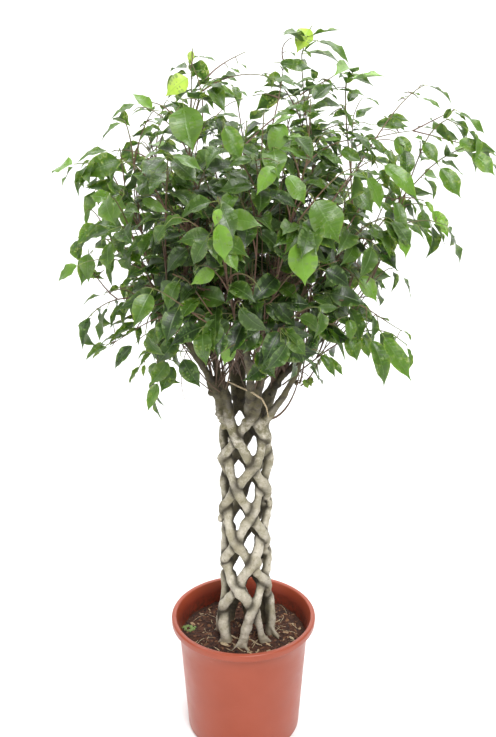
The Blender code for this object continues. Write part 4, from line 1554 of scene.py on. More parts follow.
def finish_tree(tree, ends, geometry):
    """Realizes instances, sets the material and closes the tree."""
    start, end = ends
    real = add(tree, "GeometryNodeRealizeInstances", {0: geometry})
    inputs = {"Geometry": real.outputs[0], "Material": start.outputs["Material"]}
    shown = add(tree, "GeometryNodeSetMaterial", inputs)
    tree.links.new(shown.outputs[0], end.inputs[0])
    return tree


def set_on_points(tree, points, pieces, number, turn, size):
    """One piece of a collection on each point, picked, turned and sized by the values."""
    kinds = {"Collection": pieces, "Separate Children": True, "Reset Children": True}
    inputs = {
        "Points": points,
        "Instance": add(tree, "GeometryNodeCollectionInfo", kinds).outputs[0],
        "Pick Instance": True,
        "Instance Index": number,
        "Rotation": turn,
        "Scale": size,
    }
    return add(tree, "GeometryNodeInstanceOnPoints", inputs).outputs[0]


def hang_blades_tree():
    """Sets one blade of a collection on each point, turned and sized as the point says."""
    inputs = (("Blades", "Collection"), ("Size", "Float"), ("Material", "Material"))
    tree, start, end = geometry_tree("Hang blades", inputs)
    points, blades = start.outputs["Geometry"], start.outputs["Blades"]
    form = kept_value(tree, "form", "INT")
    turn = kept_value(tree, "turn", "QUATERNION")
    size = times(tree, kept_value(tree, "size"), start.outputs["Size"])
    placed = set_on_points(tree, points, blades, form, turn, size)
    return finish_tree(tree, (start, end), placed)


def draw_twigs_tree():
    """A round skin along each line of edges, as thick as its points say."""
    tree, start, end = geometry_tree("Draw twigs", (("Sides", "Int"), ("Material", "Material")))
    lines = add(tree, "GeometryNodeMeshToCurve", {"Mesh": start.outputs["Geometry"]})
    inputs = {"Radius": 1.0, "Resolution": start.outputs["Sides"]}
    ring = add(tree, "GeometryNodeCurvePrimitiveCircle", inputs)
    inputs = {
        "Curve": lines.outputs[0],
        "Profile Curve": ring.outputs[0],
        "Scale": kept_value(tree, "thick"),
        "Fill Caps": True,
    }
    skin = add(tree, "GeometryNodeCurveToMesh", inputs)
    return finish_tree(tree, (start, end), skin.outputs[0])


def scatter_tree():
    """Strews the pieces of a collection over a surface, turned at random."""
    numbers = [(name, "Float") for name in ("Density", "Smallest", "Largest", "Tilt")]
    inputs = (("Pieces", "Collection"), *numbers, ("Seed", "Int"), ("Material", "Material"))
    tree, start, end = geometry_tree("Scatter litter", inputs)
    given = start.outputs
    inputs = {"Mesh": given["Geometry"], "Density": given["Density"], "Seed": given["Seed"]}
    spots = add(tree, "GeometryNodeDistributePointsOnFaces", inputs).outputs[0]
    tilt, least = given["Tilt"], times(tree, given["Tilt"], -1.0)
    low = add(tree, "ShaderNodeCombineXYZ", {0: least, 1: least}).outputs[0]
    high = add(tree, "ShaderNodeCombineXYZ", {0: tilt, 1: tilt, 2: 2 * math.pi}).outputs[0]

    def chance(kind, inputs):
        return add(tree, "FunctionNodeRandomValue", inputs, data_type=kind).outputs

    turn = chance("FLOAT_VECTOR", {0: low, 1: high, "Seed": given["Seed"]})[0]
    sizes = {2: given["Smallest"], 3: given["Largest"], "Seed": given["Seed"]}
    size = chance("FLOAT", sizes)[1]
    number = chance("INT", {4: 0, 5: 99})[2]
    dull = calc(tree, "POWER", chance("FLOAT", {2: 0.0, 3: 1.0, "Seed": 7})[1], 1.9)
    inputs = {"Geometry": spots, "Name": "tint", "Value": dull}
    spots = add(tree, "GeometryNodeStoreNamedAttribute", inputs, data_type="FLOAT").outputs[0]
    placed = set_on_points(tree, spots, given["Pieces"], number, turn, size)
    return finish_tree(tree, (start, end), placed)


def collection_of(name, objects):
    """A collection of shapes to instance, outside the scene."""
    made = bpy.data.collections.new(name)
    for shape in objects:
        made.objects.link(shape)
    return made


def drop_collection(collection):
    for shape in list(collection.objects):
        bpy.data.objects.remove(shape)
    bpy.data.collections.remove(collection)


def evenly(start, end, steps):
    """Numbers spread evenly from the first to the last."""
    return [start + (end - start) * k / steps for k in range(steps + 1)]


def twig_line(path, thick, left, first, last):
    """A twig's points, radii and ages. Its tip keeps the share left of its root's radius."""
    steps = len(path) - 1
    return path, evenly(thick, left * thick, steps), evenly(first, last, steps)


def twig_piece(name, lines, material, sides=6):
    """One mesh of round twigs. Each line is (points, radii, ages)."""
    points, edges, thick, ages = [], [], [], []
    for path, radii, age in lines:
        first = len(points)
        points += [tuple(p) for p in path]
        edges += [(first + k, first + k + 1) for k in range(len(path) - 1)]
        thick += list(radii)
        ages += list(age)
    mesh = bpy.data.meshes.new(name)
    mesh.from_pydata(points, edges, [])
    store(mesh, "thick", thick)
    store(mesh, "age", ages)
    piece = link(name, mesh)
    use_tree(piece, draw_twigs_tree(), Sides=sides, Material=material)
    return piece


# The pot


def arc(middle, radius, start, end, steps):
    """Points of (radius, height) on an arc, angles in degrees from outwards, upwards."""
    turns = [math.radians(start + (end - start) * k / steps) for k in range(steps + 1)]
    return [(middle[0] + radius * math.cos(t), middle[1] + radius * math.sin(t)) for t in turns]


def pot_profile():
    """The pot's section, from the middle of its floor up inside, over the lip and down."""
    inner_foot = WALL_FOOT_RADIUS - WALL_THICKNESS
    inner_top = WALL_TOP_RADIUS - WALL_THICKNESS
    under_rim = POT_HEIGHT - COLLAR_HEIGHT
    lip = 0.0034
    outer = RIM_RADIUS - lip
    mouth = RIM_MOUTH_RADIUS + lip
    profile = [(0.0, FLOOR_THICKNESS), (0.09, FLOOR_THICKNESS)]
    middle = (inner_foot - FOOT_ROUND, FLOOR_THICKNESS + FOOT_ROUND)
    profile += arc(middle, FOOT_ROUND, -90, -3, 5)
    profile += [(inner_top, under_rim - FLARE_DROP - 0.002)]
    profile += [(inner_top + 0.0004, under_rim - FLARE_DROP + 0.001)]
    profile += arc((mouth, POT_HEIGHT - lip), lip, 172, 90, 6)
    profile += arc((outer, POT_HEIGHT - lip), lip, 90, 0, 6)
    profile += arc((RIM_RADIUS - 0.0014, under_rim + 0.0010), 0.0010, 0, -180, 6)
    profile += [(RIM_RADIUS - LIP_THICKNESS, POT_HEIGHT - 0.0046)]
    profile += [(RIM_MOUTH_RADIUS + LIP_THICKNESS, POT_HEIGHT - 0.0050)]
    profile += [(WALL_TOP_RADIUS, under_rim - FLARE_DROP)]
    span = WALL_TOP_RADIUS - WALL_FOOT_RADIUS
    profile += [(WALL_FOOT_RADIUS + span * k / 6, under_rim * k / 6.2 + 0.004) for k in (5, 4, 3, 2, 1)]
    profile += arc((WALL_FOOT_RADIUS - FOOT_ROUND, FOOT_ROUND), FOOT_ROUND, 0, -90, 5)
    profile += [(0.09, 0.0), (0.0, 0.0)]
    return profile


def turn_profile(name, profile, sides):
    """A profile of (radius, height) turned about Z, as a closed mesh with its ends on the axis."""
    shape = bmesh.new()
    corners = [shape.verts.new((radius, 0.0, height)) for radius, height in profile]
    edges = [shape.edges.new(pair) for pair in zip(corners, corners[1:])]
    bmesh.ops.spin(
        shape,
        geom=corners + edges,
        cent=(0.0, 0.0, 0.0),
        axis=(0.0, 0.0, 1.0),
        angle=2 * math.pi,
        steps=sides,
        use_merge=False,
        use_duplicate=False,
    )
    bmesh.ops.remove_doubles(shape, verts=shape.verts, dist=0.00002)
    bmesh.ops.recalc_face_normals(shape, faces=shape.faces)
    mesh = mesh_of(shape, name)
    return link(name, mesh)


class FIG_OT_pot(bpy.types.Operator):
    """Turns the pot and cuts its drain holes"""

    bl_idname = "fig.pot"
    bl_label = "Pot"

    def execute(self, context):
        settings = context.scene.fig.pot
        piece = turn_profile("nursery_pot", pot_profile(), settings.sides)
        drills = []
        for k in range(DRAIN_HOLES):
            middle = around((k + 0.5) * 2 * math.pi / DRAIN_HOLES, DRAIN_RING_RADIUS, 0.0)
            shape = bmesh.new()
            bmesh.ops.create_cone(
                shape,
                cap_ends=True,
                segments=24,
                radius1=DRAIN_RADIUS,
                radius2=DRAIN_RADIUS,
                depth=4 * FLOOR_THICKNESS,
                matrix=Matrix.Translation(middle),
            )
            mesh = mesh_of(shape, "drill")
            drills.append(bpy.data.objects.new("drill", mesh))
        cut = piece.modifiers.new("Drain", "BOOLEAN")
        cut.operand_type = "COLLECTION"
        cut.collection = collection_of("drills", drills)
        cut.operation = "DIFFERENCE"
        piece.data.materials.append(pot_plastic(settings.plastic))
        settle(piece, 50.0, ("pot",))
        drop_collection(bpy.data.collections["drills"])
        store(piece.data, "inside", [self.inside(corner.co) for corner in piece.data.vertices])
        return {"FINISHED"}

    @staticmethod
    def inside(place):
        """1 on the inner wall and the floor inside, 0 on the outer wall and the lip."""
        flare = POT_HEIGHT - COLLAR_HEIGHT - FLARE_DROP
        outer = WALL_FOOT_RADIUS + (WALL_TOP_RADIUS - WALL_FOOT_RADIUS) * place.z / flare
        if place.z > flare:
            rise = (place.z - flare) / (POT_HEIGHT - 0.0050 - flare)
            outer = WALL_TOP_RADIUS + (RIM_MOUTH_RADIUS + LIP_THICKNESS - WALL_TOP_RADIUS) * rise
        within = place.to_2d().length < outer - 0.4 * WALL_THICKNESS
        return float(within and 0.5 * FLOOR_THICKNESS < place.z < POT_HEIGHT - 0.004)


# The potting mix and what lies on it

# The crumbs of the mix: how high, how fine, and where in the noise
MIX_CRUMBS = ((0.0042, 34.0, 0.3), (0.0022, 95.0, 1.7), (0.0010, 260.0, 4.1))
LITTER_TOP = MIX_TOP + 0.005
LITTER_RADIUS = 0.113
FIBRE_RADIUS = 0.112
STEM_ROOM = 0.011


def mix_height(x, y):
    """The mix's surface: a low mound with crumbs, dipping a little towards the pot's wall."""
    wide = math.hypot(x, y)
    mound = MIX_MOUND * (1.0 - smooth(wide / 0.115)) - 0.0015 * smooth((wide - 0.09) / 0.02)
    rough = sum(high * noise.noise(Vector((x, y, at)) * fine) for high, fine, at in MIX_CRUMBS)
    return MIX_TOP + mound + rough


def mix_solid(rings=54, sides=132):
    """The mix as a closed solid: its rough top, its wall against the pot and its floor."""
    edge = inner_wall_radius(MIX_TOP) - 2 * GAP
    foot = FLOOR_THICKNESS + FOOT_ROUND
    points = [Vector((0.0, 0.0, mix_height(0.0, 0.0)))]
    faces = []
    for ring in range(1, rings + 1):
        wide = edge * ring / rings
        for k in range(sides):
            turn = k * 2 * math.pi / sides
            x, y = wide * math.cos(turn), wide * math.sin(turn)
            points.append(Vector((x, y, mix_height(x, y))))
    for height, inset in ((foot, 0.0), (FLOOR_THICKNESS + GAP, FOOT_ROUND)):
        wide = inner_wall_radius(foot) - 2 * GAP - inset
        for k in range(sides):
            turn = k * 2 * math.pi / sides
            points.append(Vector((wide * math.cos(turn), wide * math.sin(turn), height)))
    points.append(Vector((0.0, 0.0, FLOOR_THICKNESS + GAP)))
    faces += [(0, 1 + k, 1 + (k + 1) % sides) for k in range(sides)]
    for ring in range(rings + 1):
        low, high = 1 + ring * sides, 1 + (ring + 1) * sides
        for k in range(sides):
            after = (k + 1) % sides
            faces.append((low + k, high + k, high + after, low + after))
    last = 1 + (rings + 1) * sides
    faces += [(last + k, len(points) - 1, last + (k + 1) % sides) for k in range(sides)]
    return points, faces


def inner_wall_radius(height):
    """The pot's inner wall, between its foot and its flare."""
    low = FLOOR_THICKNESS + FOOT_ROUND
    high = POT_HEIGHT - COLLAR_HEIGHT - FLARE_DROP
    share = (height - low) / (high - low)
    span = WALL_TOP_RADIUS - WALL_FOOT_RADIUS
    return WALL_FOOT_RADIUS - WALL_THICKNESS + share * span


def chip_shapes():
    """Flat splinters and lumps of bark, each an uneven box with its corners drawn in."""
    draw = random.Random(SEED + 7)
    shapes = []
    for number in range(7):
        shape = bmesh.new()
        bmesh.ops.create_cube(shape, size=1.0)
        bmesh.ops.bevel(shape, geom=shape.edges, offset=0.16, segments=1, affect="EDGES")
        long = draw.uniform(0.9, 1.9)
        wide = draw.uniform(0.35, 0.8)
        deep = draw.uniform(0.10, 0.30)
        for corner in shape.verts:
            wander = [draw.uniform(-0.10, 0.10) for _ in range(3)]
            x, y, z = corner.co
            bend = 0.25 * (x * x) * draw.uniform(0.8, 1.2)
            corner.co = ((x + wander[0]) * long, (y + wander[1]) * wide, (z + bend) * deep)
        mesh = mesh_of(shape, "chip")
        shapes.append(bpy.data.objects.new(f"chip_{number}", mesh))
    return shapes


def litter_bed():
    """The top of the mix as an open sheet, for the litter to lie on, clear of the stems."""
    rings, sides = 20, 60
    points, faces = mix_solid(rings, sides)
    feet = [path[1] for path, _ in growth().stems]
    kept = []
    for face in faces:
        middle = sum((points[k] for k in face), Vector()) / len(face)
        clear = all((middle - foot).to_2d().length > STEM_ROOM for foot in feet)
        if max(face) < 1 + rings * sides and clear and middle.to_2d().length < LITTER_RADIUS:
            kept.append(face)
    return mesh_piece("litter_bed", points, kept)


# Larger pale splinters on the mix: their ends in pixels, and half their thickness
SPLINTERS = (
    ((227, 634), (245, 641), 0.0015),
    ((248, 638), (262, 645), 0.0013),
    ((263, 640), (272, 646), 0.0012),
    ((235, 645), (243, 650), 0.0010),
    ((206, 642), (210, 628), 0.0005),
    ((262, 617), (280, 628), 0.0005),
    ((280, 628), (298, 632), 0.0005),
    ((221, 642), (228, 645), 0.0034),
    ((290, 635), (294, 637), 0.0022),
    ((282, 646), (290, 641), 0.0009),
    ((240, 634), (252, 633), 0.0009),
    ((252, 646), (258, 639), 0.0008),
    ((214, 646), (222, 650), 0.0010),
    ((274, 622), (281, 619), 0.0009),
    ((199, 613), (206, 611), 0.0009),
    ((292, 622), (297, 627), 0.0008),
    ((266, 649), (276, 648), 0.0011),
    ((232, 640), (238, 636), 0.0008),
    ((244, 650), (256, 652), 0.0008),
)


def fibre_lines(count):
    """Thin bent roots and fibres that lie on the mix."""
    draw = random.Random(SEED + 11)
    lines = []
    while len(lines) < count:
        turn, wide = draw.uniform(0, 2 * math.pi), 0.11 * math.sqrt(draw.random())
        x, y = wide * math.cos(turn), wide * math.sin(turn)
        if wide < 0.05:
            continue
        heading, bend = draw.uniform(0, 2 * math.pi), draw.uniform(-0.5, 0.5)
        long = draw.uniform(0.010, 0.042)
        lift = draw.uniform(0.0006, 0.0040)
        path = []
        for k in range(7):
            x += long / 6 * math.cos(heading)
            y += long / 6 * math.sin(heading)
            heading += bend * 0.5 + draw.uniform(-0.2, 0.2)
            wide = math.hypot(x, y)
            if wide > FIBRE_RADIUS:
                x, y = x * FIBRE_RADIUS / wide, y * FIBRE_RADIUS / wide
            arch = lift * math.sin(math.pi * k / 6)
            path.append(Vector((x, y, mix_height(x, y) + 0.0006 + arch)))
        thick = draw.uniform(0.00022, 0.00050)
        lines.append((path, [thick] * 6 + [0.4 * thick], [draw.random()] * 7))
    for start, end, thick in SPLINTERS:
        (x0, y0), (x1, y1) = seen_on_mix(*start), seen_on_mix(*end)
        path = []
        for k in range(5):
            x, y = x0 + (x1 - x0) * k / 4, y0 + (y1 - y0) * k / 4
            x, y = x + draw.uniform(-0.0006, 0.0006), y + draw.uniform(-0.0006, 0.0006)
            path.append(Vector((x, y, mix_height(x, y) + 0.7 * thick)))
        lines.append((path, [share * thick for share in (0.6, 0.9, 1.0, 0.85, 0.5)], [0.0] * 5))
    return lines


class FIG_OT_mix(bpy.types.Operator):
    """Fills the pot with crumbly potting mix"""

    bl_idname = "fig.mix"
    bl_label = "Potting mix"

    def execute(self, context):
        settings = context.scene.fig.mix
        points, faces = mix_solid()
        piece = mesh_piece("potting_mix_surface", points, faces)
        piece.data.materials.append(potting_mix_finish(settings.damp, settings.crumb))
        settle(piece, 60.0, ("potting_mix",))
        return {"FINISHED"}


# The tuft of moss at the left
MOSS_MIDDLE = Vector((-0.104, 0.012, 0.0))
MOSS_RADIUS = 0.012
MOSS_CUSHIONS = 34


class FIG_OT_litter(bpy.types.Operator):
    """Strews bark chips, fibres and a tuft of moss on the mix"""

    bl_idname = "fig.litter"
    bl_label = "Litter"

    def execute(self, context):
        settings = context.scene.fig.mix
        chips = collection_of("chips", chip_shapes())
        piece = litter_bed()
        piece.name = "bark_chips"
        use_tree(
            piece,
            scatter_tree(),
            Pieces=chips,
            Density=float(settings.chips),
            Seed=SEED,
            Smallest=0.0014,
            Largest=0.0078,
            Tilt=0.5,
            Material=litter_finish(),
        )
        settle(piece, 30.0)
        drop_collection(chips)
        fibres = twig_piece("root_fibres", fibre_lines(settings.fibres), dry_twig_finish(), 5)
        settle(fibres)
        self.grow_moss()
        return {"FINISHED"}

    @staticmethod
    def grow_moss():
        """A clump of small round cushions."""
        draw = random.Random(SEED + 13)
        shape = bmesh.new()
        for _ in range(MOSS_CUSHIONS):
            turn, wide = draw.uniform(0, 2 * math.pi), MOSS_RADIUS * math.sqrt(draw.random())
            x = MOSS_MIDDLE.x + wide * math.cos(turn)
            y = MOSS_MIDDLE.y + wide * math.sin(turn)
            size = draw.uniform(0.0012, 0.0030)
            place = Vector((x, y, mix_height(x, y) + 0.3 * size))
            bmesh.ops.create_icosphere(
                shape, subdivisions=2, radius=size, matrix=Matrix.Translation(place)
            )
        mesh = mesh_of(shape, "moss")
        piece = link("moss_tuft", mesh)
        piece.data.materials.append(moss_finish())
        settle(piece)


# The woven trunk


# Lumps of healed wood, as (place, radius)
KNOBS = (
    ((-0.041, -0.024, 0.648), 0.0075),
    ((-0.034, -0.032, 0.628), 0.0060),
    ((0.002, -0.042, 0.640), 0.0062),
    ((0.047, -0.018, 0.646), 0.0070),
    ((0.092, 0.000, 0.696), 0.0058),
    ((-0.040, -0.016, 0.560), 0.0060),
    ((0.046, -0.012, 0.470), 0.0062),
    ((-0.041, -0.010, 0.440), 0.0066),
)

# A side branch at the right, grown from the top of the weave: pixels across and down, depth
# and radius
SIDE_BRANCH = (
    (262, 424, -0.030, 0.0075),
    (272, 412, -0.032, 0.0070),
    (281, 400, -0.032, 0.0062),
    (289, 387, -0.034, 0.0054),
    (297, 372, -0.038, 0.0044),
    (304, 354, -0.042, 0.0030),
)
BARK_GROWTH = 0.0008
FINE_FEET = [FOOT_HEIGHTS[0] + 0.045 + 0.005 * k for k in range(17)]
FINE_BRANCH = [k / 16 for k in range(1, 17)]


def skin(points, radii, sides, seed):
    """A knobbly closed tube along the points: (places, faces)."""
    places, faces = [], []
    across = (points[1] - points[0]).orthogonal().normalized()
    count = len(points)
    for k, point in enumerate(points):
        heading = (points[min(k + 1, count - 1)] - points[max(k - 1, 0)]).normalized()
        across = (across - heading * across.dot(heading)).normalized()
        other = heading.cross(across)
        for corner in range(sides):
            turn = corner * 2 * math.pi / sides
            way = across * math.cos(turn) + other * math.sin(turn)
            lump = noise.noise((point + way * radii[k]) * 42.0 + Vector((seed, 0, 0)))
            lump += 0.5 * noise.noise((point + way * radii[k]) * 110.0 + Vector((0, seed, 0)))
            places.append(point + way * radii[k] * (1.0 + 0.25 * lump))
    for k in range(count - 1):
        low, high = k * sides, (k + 1) * sides
        for corner in range(sides):
            after = (corner + 1) % sides
            faces.append((low + corner, low + after, high + after, high + corner))
    places += [points[0], points[-1]]
    last = (count - 1) * sides
    for corner in range(sides):
        after = (corner + 1) % sides
        faces.append((count * sides, after, corner))
        faces.append((count * sides + 1, last + corner, last + after))
    return places, faces


def calluses():
    """Lumps where stems have fused, (points, radii), most of them low and wide."""
    draw = random.Random(SEED + 19)
    lumps = []
    for row in range(CROSSING_ROWS + 1):
        height = FIRST_ROW_HEIGHT + row * ROW_RISE
        for index in range(STEMS_EACH_WAY):
            turn = FIRST_ROW_AZIMUTH + index * 2 * ROW_TURN + row * ROW_TURN
            if draw.random() < 0.15:
                continue
            turn += draw.gauss(0.0, 0.10)
            wide = ring_radius(height) + draw.uniform(-0.001, 0.0045)
            middle = around(turn, wide, height + draw.gauss(0.0, 0.005)) + TRUNK_MIDDLE
            lean = around(turn + math.pi / 2, draw.uniform(-0.006, 0.006), 0.0)
            half = UP * draw.uniform(0.004, 0.010) + lean
            size = draw.uniform(0.0066, 0.0098)
            lumps.append(([middle - half, middle, middle + half], [0.6 * size, size, 0.6 * size]))
    for path, _ in (stem_path(hand, n) for n in range(STEMS_EACH_WAY) for hand in (1, -1)):
        foot = path[1]
        for _ in range(2):
            turn = math.atan2(foot.x - TRUNK_MIDDLE.x, -foot.y) + draw.gauss(0.0, 0.7)
            reach = draw.uniform(0.012, 0.026)
            start = foot + UP * draw.uniform(0.012, 0.024)
            end = Vector((foot.x, foot.y, MIX_TOP)) + around(turn, reach, 0.0005)
            middle = start.lerp(end, 0.5) - UP * 0.003
            size = draw.uniform(0.0036, 0.0056)
            lumps.append(([start, middle, end], [size, 0.8 * size, 0.35 * size]))
    for place, size in KNOBS:
        middle = Vector(place)
        lumps.append(([middle - UP * size, middle, middle + UP * size], [0.5 * size, size, 0.5 * size]))
    return lumps


def pruned_stubs(paths):
    """Short cut side branches on the thick ones, (points, radii)."""
    draw = random.Random(SEED + 17)
    stubs = []
    for points, radii in paths:
        for share in (0.80, 0.88):
            k = int(share * (len(points) - 1)) + draw.randrange(-2, 3)
            turn = draw.uniform(0, 2 * math.pi)
            way = around(turn, 1.0, 0.35).normalized()
            long = radii[k] + draw.uniform(0.004, 0.010)
            path = [points[k] + way * long * step / 3 for step in range(4)]
            stubs.append((path, [radii[k] * 0.55, radii[k] * 0.5, radii[k] * 0.5, radii[k] * 0.46]))
    return stubs


class FIG_OT_trunk(bpy.types.Operator):
    """Weaves the stems and lets them fuse where they cross"""

    bl_idname = "fig.trunk"
    bl_label = "Woven trunk"

    def execute(self, context):
        settings = context.scene.fig.trunk
        paths = [
            stem_path(hand, index, FINE_FEET, 10, FINE_BRANCH)
            for index in range(STEMS_EACH_WAY)
            for hand in (1, -1)
        ]
        paths = [(points, [radius + BARK_GROWTH for radius in radii]) for points, radii in paths]
        places, faces = [], []
        twigs = [(s["stub"], [1.5 * TWIG_RADIUS, 1.1 * TWIG_RADIUS]) for s in growth().shoots]
        for number, (points, radii) in enumerate(
            paths + [seen_wood(SIDE_BRANCH)] + pruned_stubs(paths) + calluses() + twigs
        ):
            more, covers = skin(points, radii, 16, 3.7 * number)
            faces += [tuple(len(places) + k for k in cover) for cover in covers]
            places += more
        piece = mesh_piece("woven_trunk_bark", places, faces)
        fuse = piece.modifiers.new("Fuse", "REMESH")
        fuse.mode = "VOXEL"
        fuse.voxel_size = settings.voxel
        ease = piece.modifiers.new("Ease", "SMOOTH")
        ease.iterations = 5
        ease.factor = 0.5
        piece.data.materials.append(bark_finish(settings.pale, settings.shade, settings.high))
        settle(piece, 180.0, ("woven_trunk",))
        self.weather(piece.data, paths)
        return {"FINISHED"}

    @staticmethod
    def weather(mesh, paths):
        """Wrinkles the bark, and marks crossings and inward faces for painted shade, branches for darker
        bark partly painted as shade, and feet, for their colours.
        """
        tree = KDTree(sum(len(points) for points, _ in paths))
        owner, width = [], []
        for number, (points, radii) in enumerate(paths):
            for point, radius in zip(points, radii):
                tree.insert(point, len(owner))
                owner.append(number)
                width.append(radius)
        tree.balance()
        crossing, branch, foot, inner, moved = [], [], [], [], []
        weave_top = FIRST_ROW_HEIGHT + CROSSING_ROWS * ROW_RISE
        for corner in mesh.vertices:
            place = corner.co
            near = tree.find_n(place, 24)
            first = owner[near[0][1]]
            # the crossing mask: painted shade in the crevices between fused stems
            gap = min([far - width[n] for _, n, far in near if owner[n] != first], default=0.05)
            patch = 0.5 + 0.9 * noise.noise(place * 60.0)
            wide = smooth(1.0 - gap / 0.0095) * smooth(0.30 + patch)
            crossing.append(0.94 * max(wide, smooth(1.25 - gap / 0.0042)))
            # the inner mask: painted shade on faces turned inwards or sideways, low on the weave
            out = (place - TRUNK_MIDDLE).to_2d()
            facing = Vector(corner.normal[:2]).dot(out) / max(out.length, 0.001)
            inner.append(0.95 * smooth((0.42 - facing) / 0.85) * float(place.z < weave_top + 0.03))
            # the branch mask: darker bark above the weave, partly painted shade under the crown
            branch.append(0.92 * smooth((place.z - weave_top + 0.035 + 0.02 * patch) / 0.075))
            foot.append(0.7 * smooth(1.0 - (place.z - MIX_TOP - 0.004) / 0.022))
            deep = 0.00060 * noise.noise(Vector((place.x, place.y, place.z * 2.4)) * 170.0)
            deep += 0.00125 * noise.noise(place * 90.0)
            deep += 0.00150 * noise.noise(place * 48.0)
            moved.extend(place + corner.normal * deep)
        mesh.vertices.foreach_set("co", moved)
        mesh.update()
        store(mesh, "crossing", crossing)
        store(mesh, "branch", branch)
        store(mesh, "foot", foot)
        store(mesh, "inner", inner)


# The crown

BLADE_OUTLINE = (
    (0.0, 0.04),
    (0.03, 0.30),
    (0.08, 0.56),
    (0.15, 0.78),
    (0.24, 0.93),
    (0.34, 1.0),
    (0.44, 1.0),
    (0.54, 0.93),
    (0.63, 0.79),
    (0.71, 0.59),
    (0.78, 0.37),
    (0.84, 0.20),
    (0.90, 0.10),
    (0.96, 0.05),
    (1.0, 0.0),
)


# A leaf's stalk: how far along, how high, and how thick
STALK = (
    (-0.0005, 0.0, 0.0009),
    (0.5 * PETIOLE, 0.0004, 0.0006),
    (PETIOLE + 0.004, -0.0001, 0.0005),
)


def fine_blade(number, form, flipped, wide_share):
    """A leaf as in the solids, with a rounder outline, a waved edge and a stalk."""
    arch, fold, sweep, wave = BLADE_FORMS[form]
    half = 0.5 * LEAF_LENGTH * LEAF_WIDTH_RATIO * wide_share
    columns = (-1.0, -0.5, 0.0, 0.5, 1.0)
    shape = bmesh.new()
    chart = shape.loops.layers.uv.new("blade")

    def place_at(share, wide, u, lift):
        bend = arch * share
        reach = half * wide
        ripple = -wave * LEAF_LENGTH * math.cos(math.pi * (share - 0.27) / 0.33) * wide
        curl = 0.022 * LEAF_LENGTH * math.sin(7.0 * math.pi * share + form) * u * u * wide
        x = sweep * LEAF_LENGTH * share**2 + u * reach * math.cos(fold)
        y = PETIOLE + LEAF_LENGTH * math.sin(bend) / arch
        z = -LEAF_LENGTH * (1.0 - math.cos(bend)) / arch
        z += abs(u) * reach * math.sin(fold) - u * ripple + curl + lift * (1 - abs(u))
        return (-x if flipped else x, y, z)

    def sheet(lift, shift):
        rows = []
        for share, wide in BLADE_OUTLINE:
            rows.append([shape.verts.new(place_at(share, wide, u, lift)) for u in columns])
        for k in range(len(rows) - 1):
            for c in range(4):
                ring = [(k, c), (k, c + 1), (k + 1, c + 1), (k + 1, c)]
                if (shift > 0) != flipped:
                    ring.reverse()
                face = shape.faces.new([rows[a][b] for a, b in ring])
                for loop, (a, b) in zip(face.loops, ring):
                    across = 0.5 + 0.5 * columns[b]
                    loop[chart].uv = (across + shift, BLADE_OUTLINE[a][0])

    sheet(0.00028, 0.0)
    sheet(-0.00028, 2.0)
    rings = []
    for y, z, thick in STALK:
        ring = [(0.0, 1.0), (-0.87, -0.5), (0.87, -0.5)]
        rings.append([shape.verts.new((a * thick, y, z + b * thick)) for a, b in ring])
    for low, high in zip(rings, rings[1:]):
        for c in range(3):
            after = (c + 1) % 3
            face = shape.faces.new((low[c], high[c], high[after], low[after]))
            for loop in face.loops:
                loop[chart].uv = (4.5, 0.0)
    for end in (rings[0], rings[-1][::-1]):
        face = shape.faces.new(end)
        for loop in face.loops:
            loop[chart].uv = (4.5, 0.0)
    bmesh.ops.remove_doubles(shape, verts=shape.verts, dist=0.00002)
    mesh = mesh_of(shape, "blade")
    return bpy.data.objects.new(f"blade_{number:02d}", mesh)


class FIG_OT_leaves(bpy.types.Operator):
    """Hangs the leaves, in one piece for each sector of the crown"""

    bl_idname = "fig.leaves"
    bl_label = "Leaves"

    def execute(self, context):
        settings = context.scene.fig.crown
        kinds = range(KINDS)
        plans = [(form, flipped, 1.0) for form in kinds for flipped in (False, True)]
        for width in (SLIM, BROAD):
            plans += [(form, False, BLADE_WIDTHS[width]) for form in kinds]
        forms = [fine_blade(number, *plan) for number, plan in enumerate(plans)]
        blades = collection_of("blades", forms)
        tree = hang_blades_tree()
        finish = leaf_finish(settings.old_shaded_leaf, settings.grown, settings.light, settings.young)
        for sector, leaves in enumerate(growth().leaves):
            mesh = bpy.data.meshes.new("leaf_places")
            mesh.from_pydata([tuple(f.translation) for f, _, _, _ in leaves], [], [])
            store(mesh, "size", [size / LEAF_LENGTH for _, size, _, _ in leaves])
            store(mesh, "form", [blade for _, _, blade, _ in leaves], "INT")
            store(mesh, "tint", [tint for _, _, _, tint in leaves])
            turns = mesh.attributes.new("turn", "QUATERNION", "POINT")
            values = [part for f, _, _, _ in leaves for part in f.to_quaternion()]
            turns.data.foreach_set("value", values)
            piece = link(f"foliage_{sector + 1}", mesh)
            use_tree(piece, tree, Blades=blades, Size=settings.leaf_size, Material=finish)
            settle(piece, 75.0, growth().nodes[sector])
            for name in ("size", "form", "turn"):
                spare = piece.data.attributes.get(name)
                if spare:
                    piece.data.attributes.remove(spare)
        drop_collection(blades)
        return {"FINISHED"}


# How thick the shoots' twigs are beside those of the solids
FINE_TWIG = 0.74


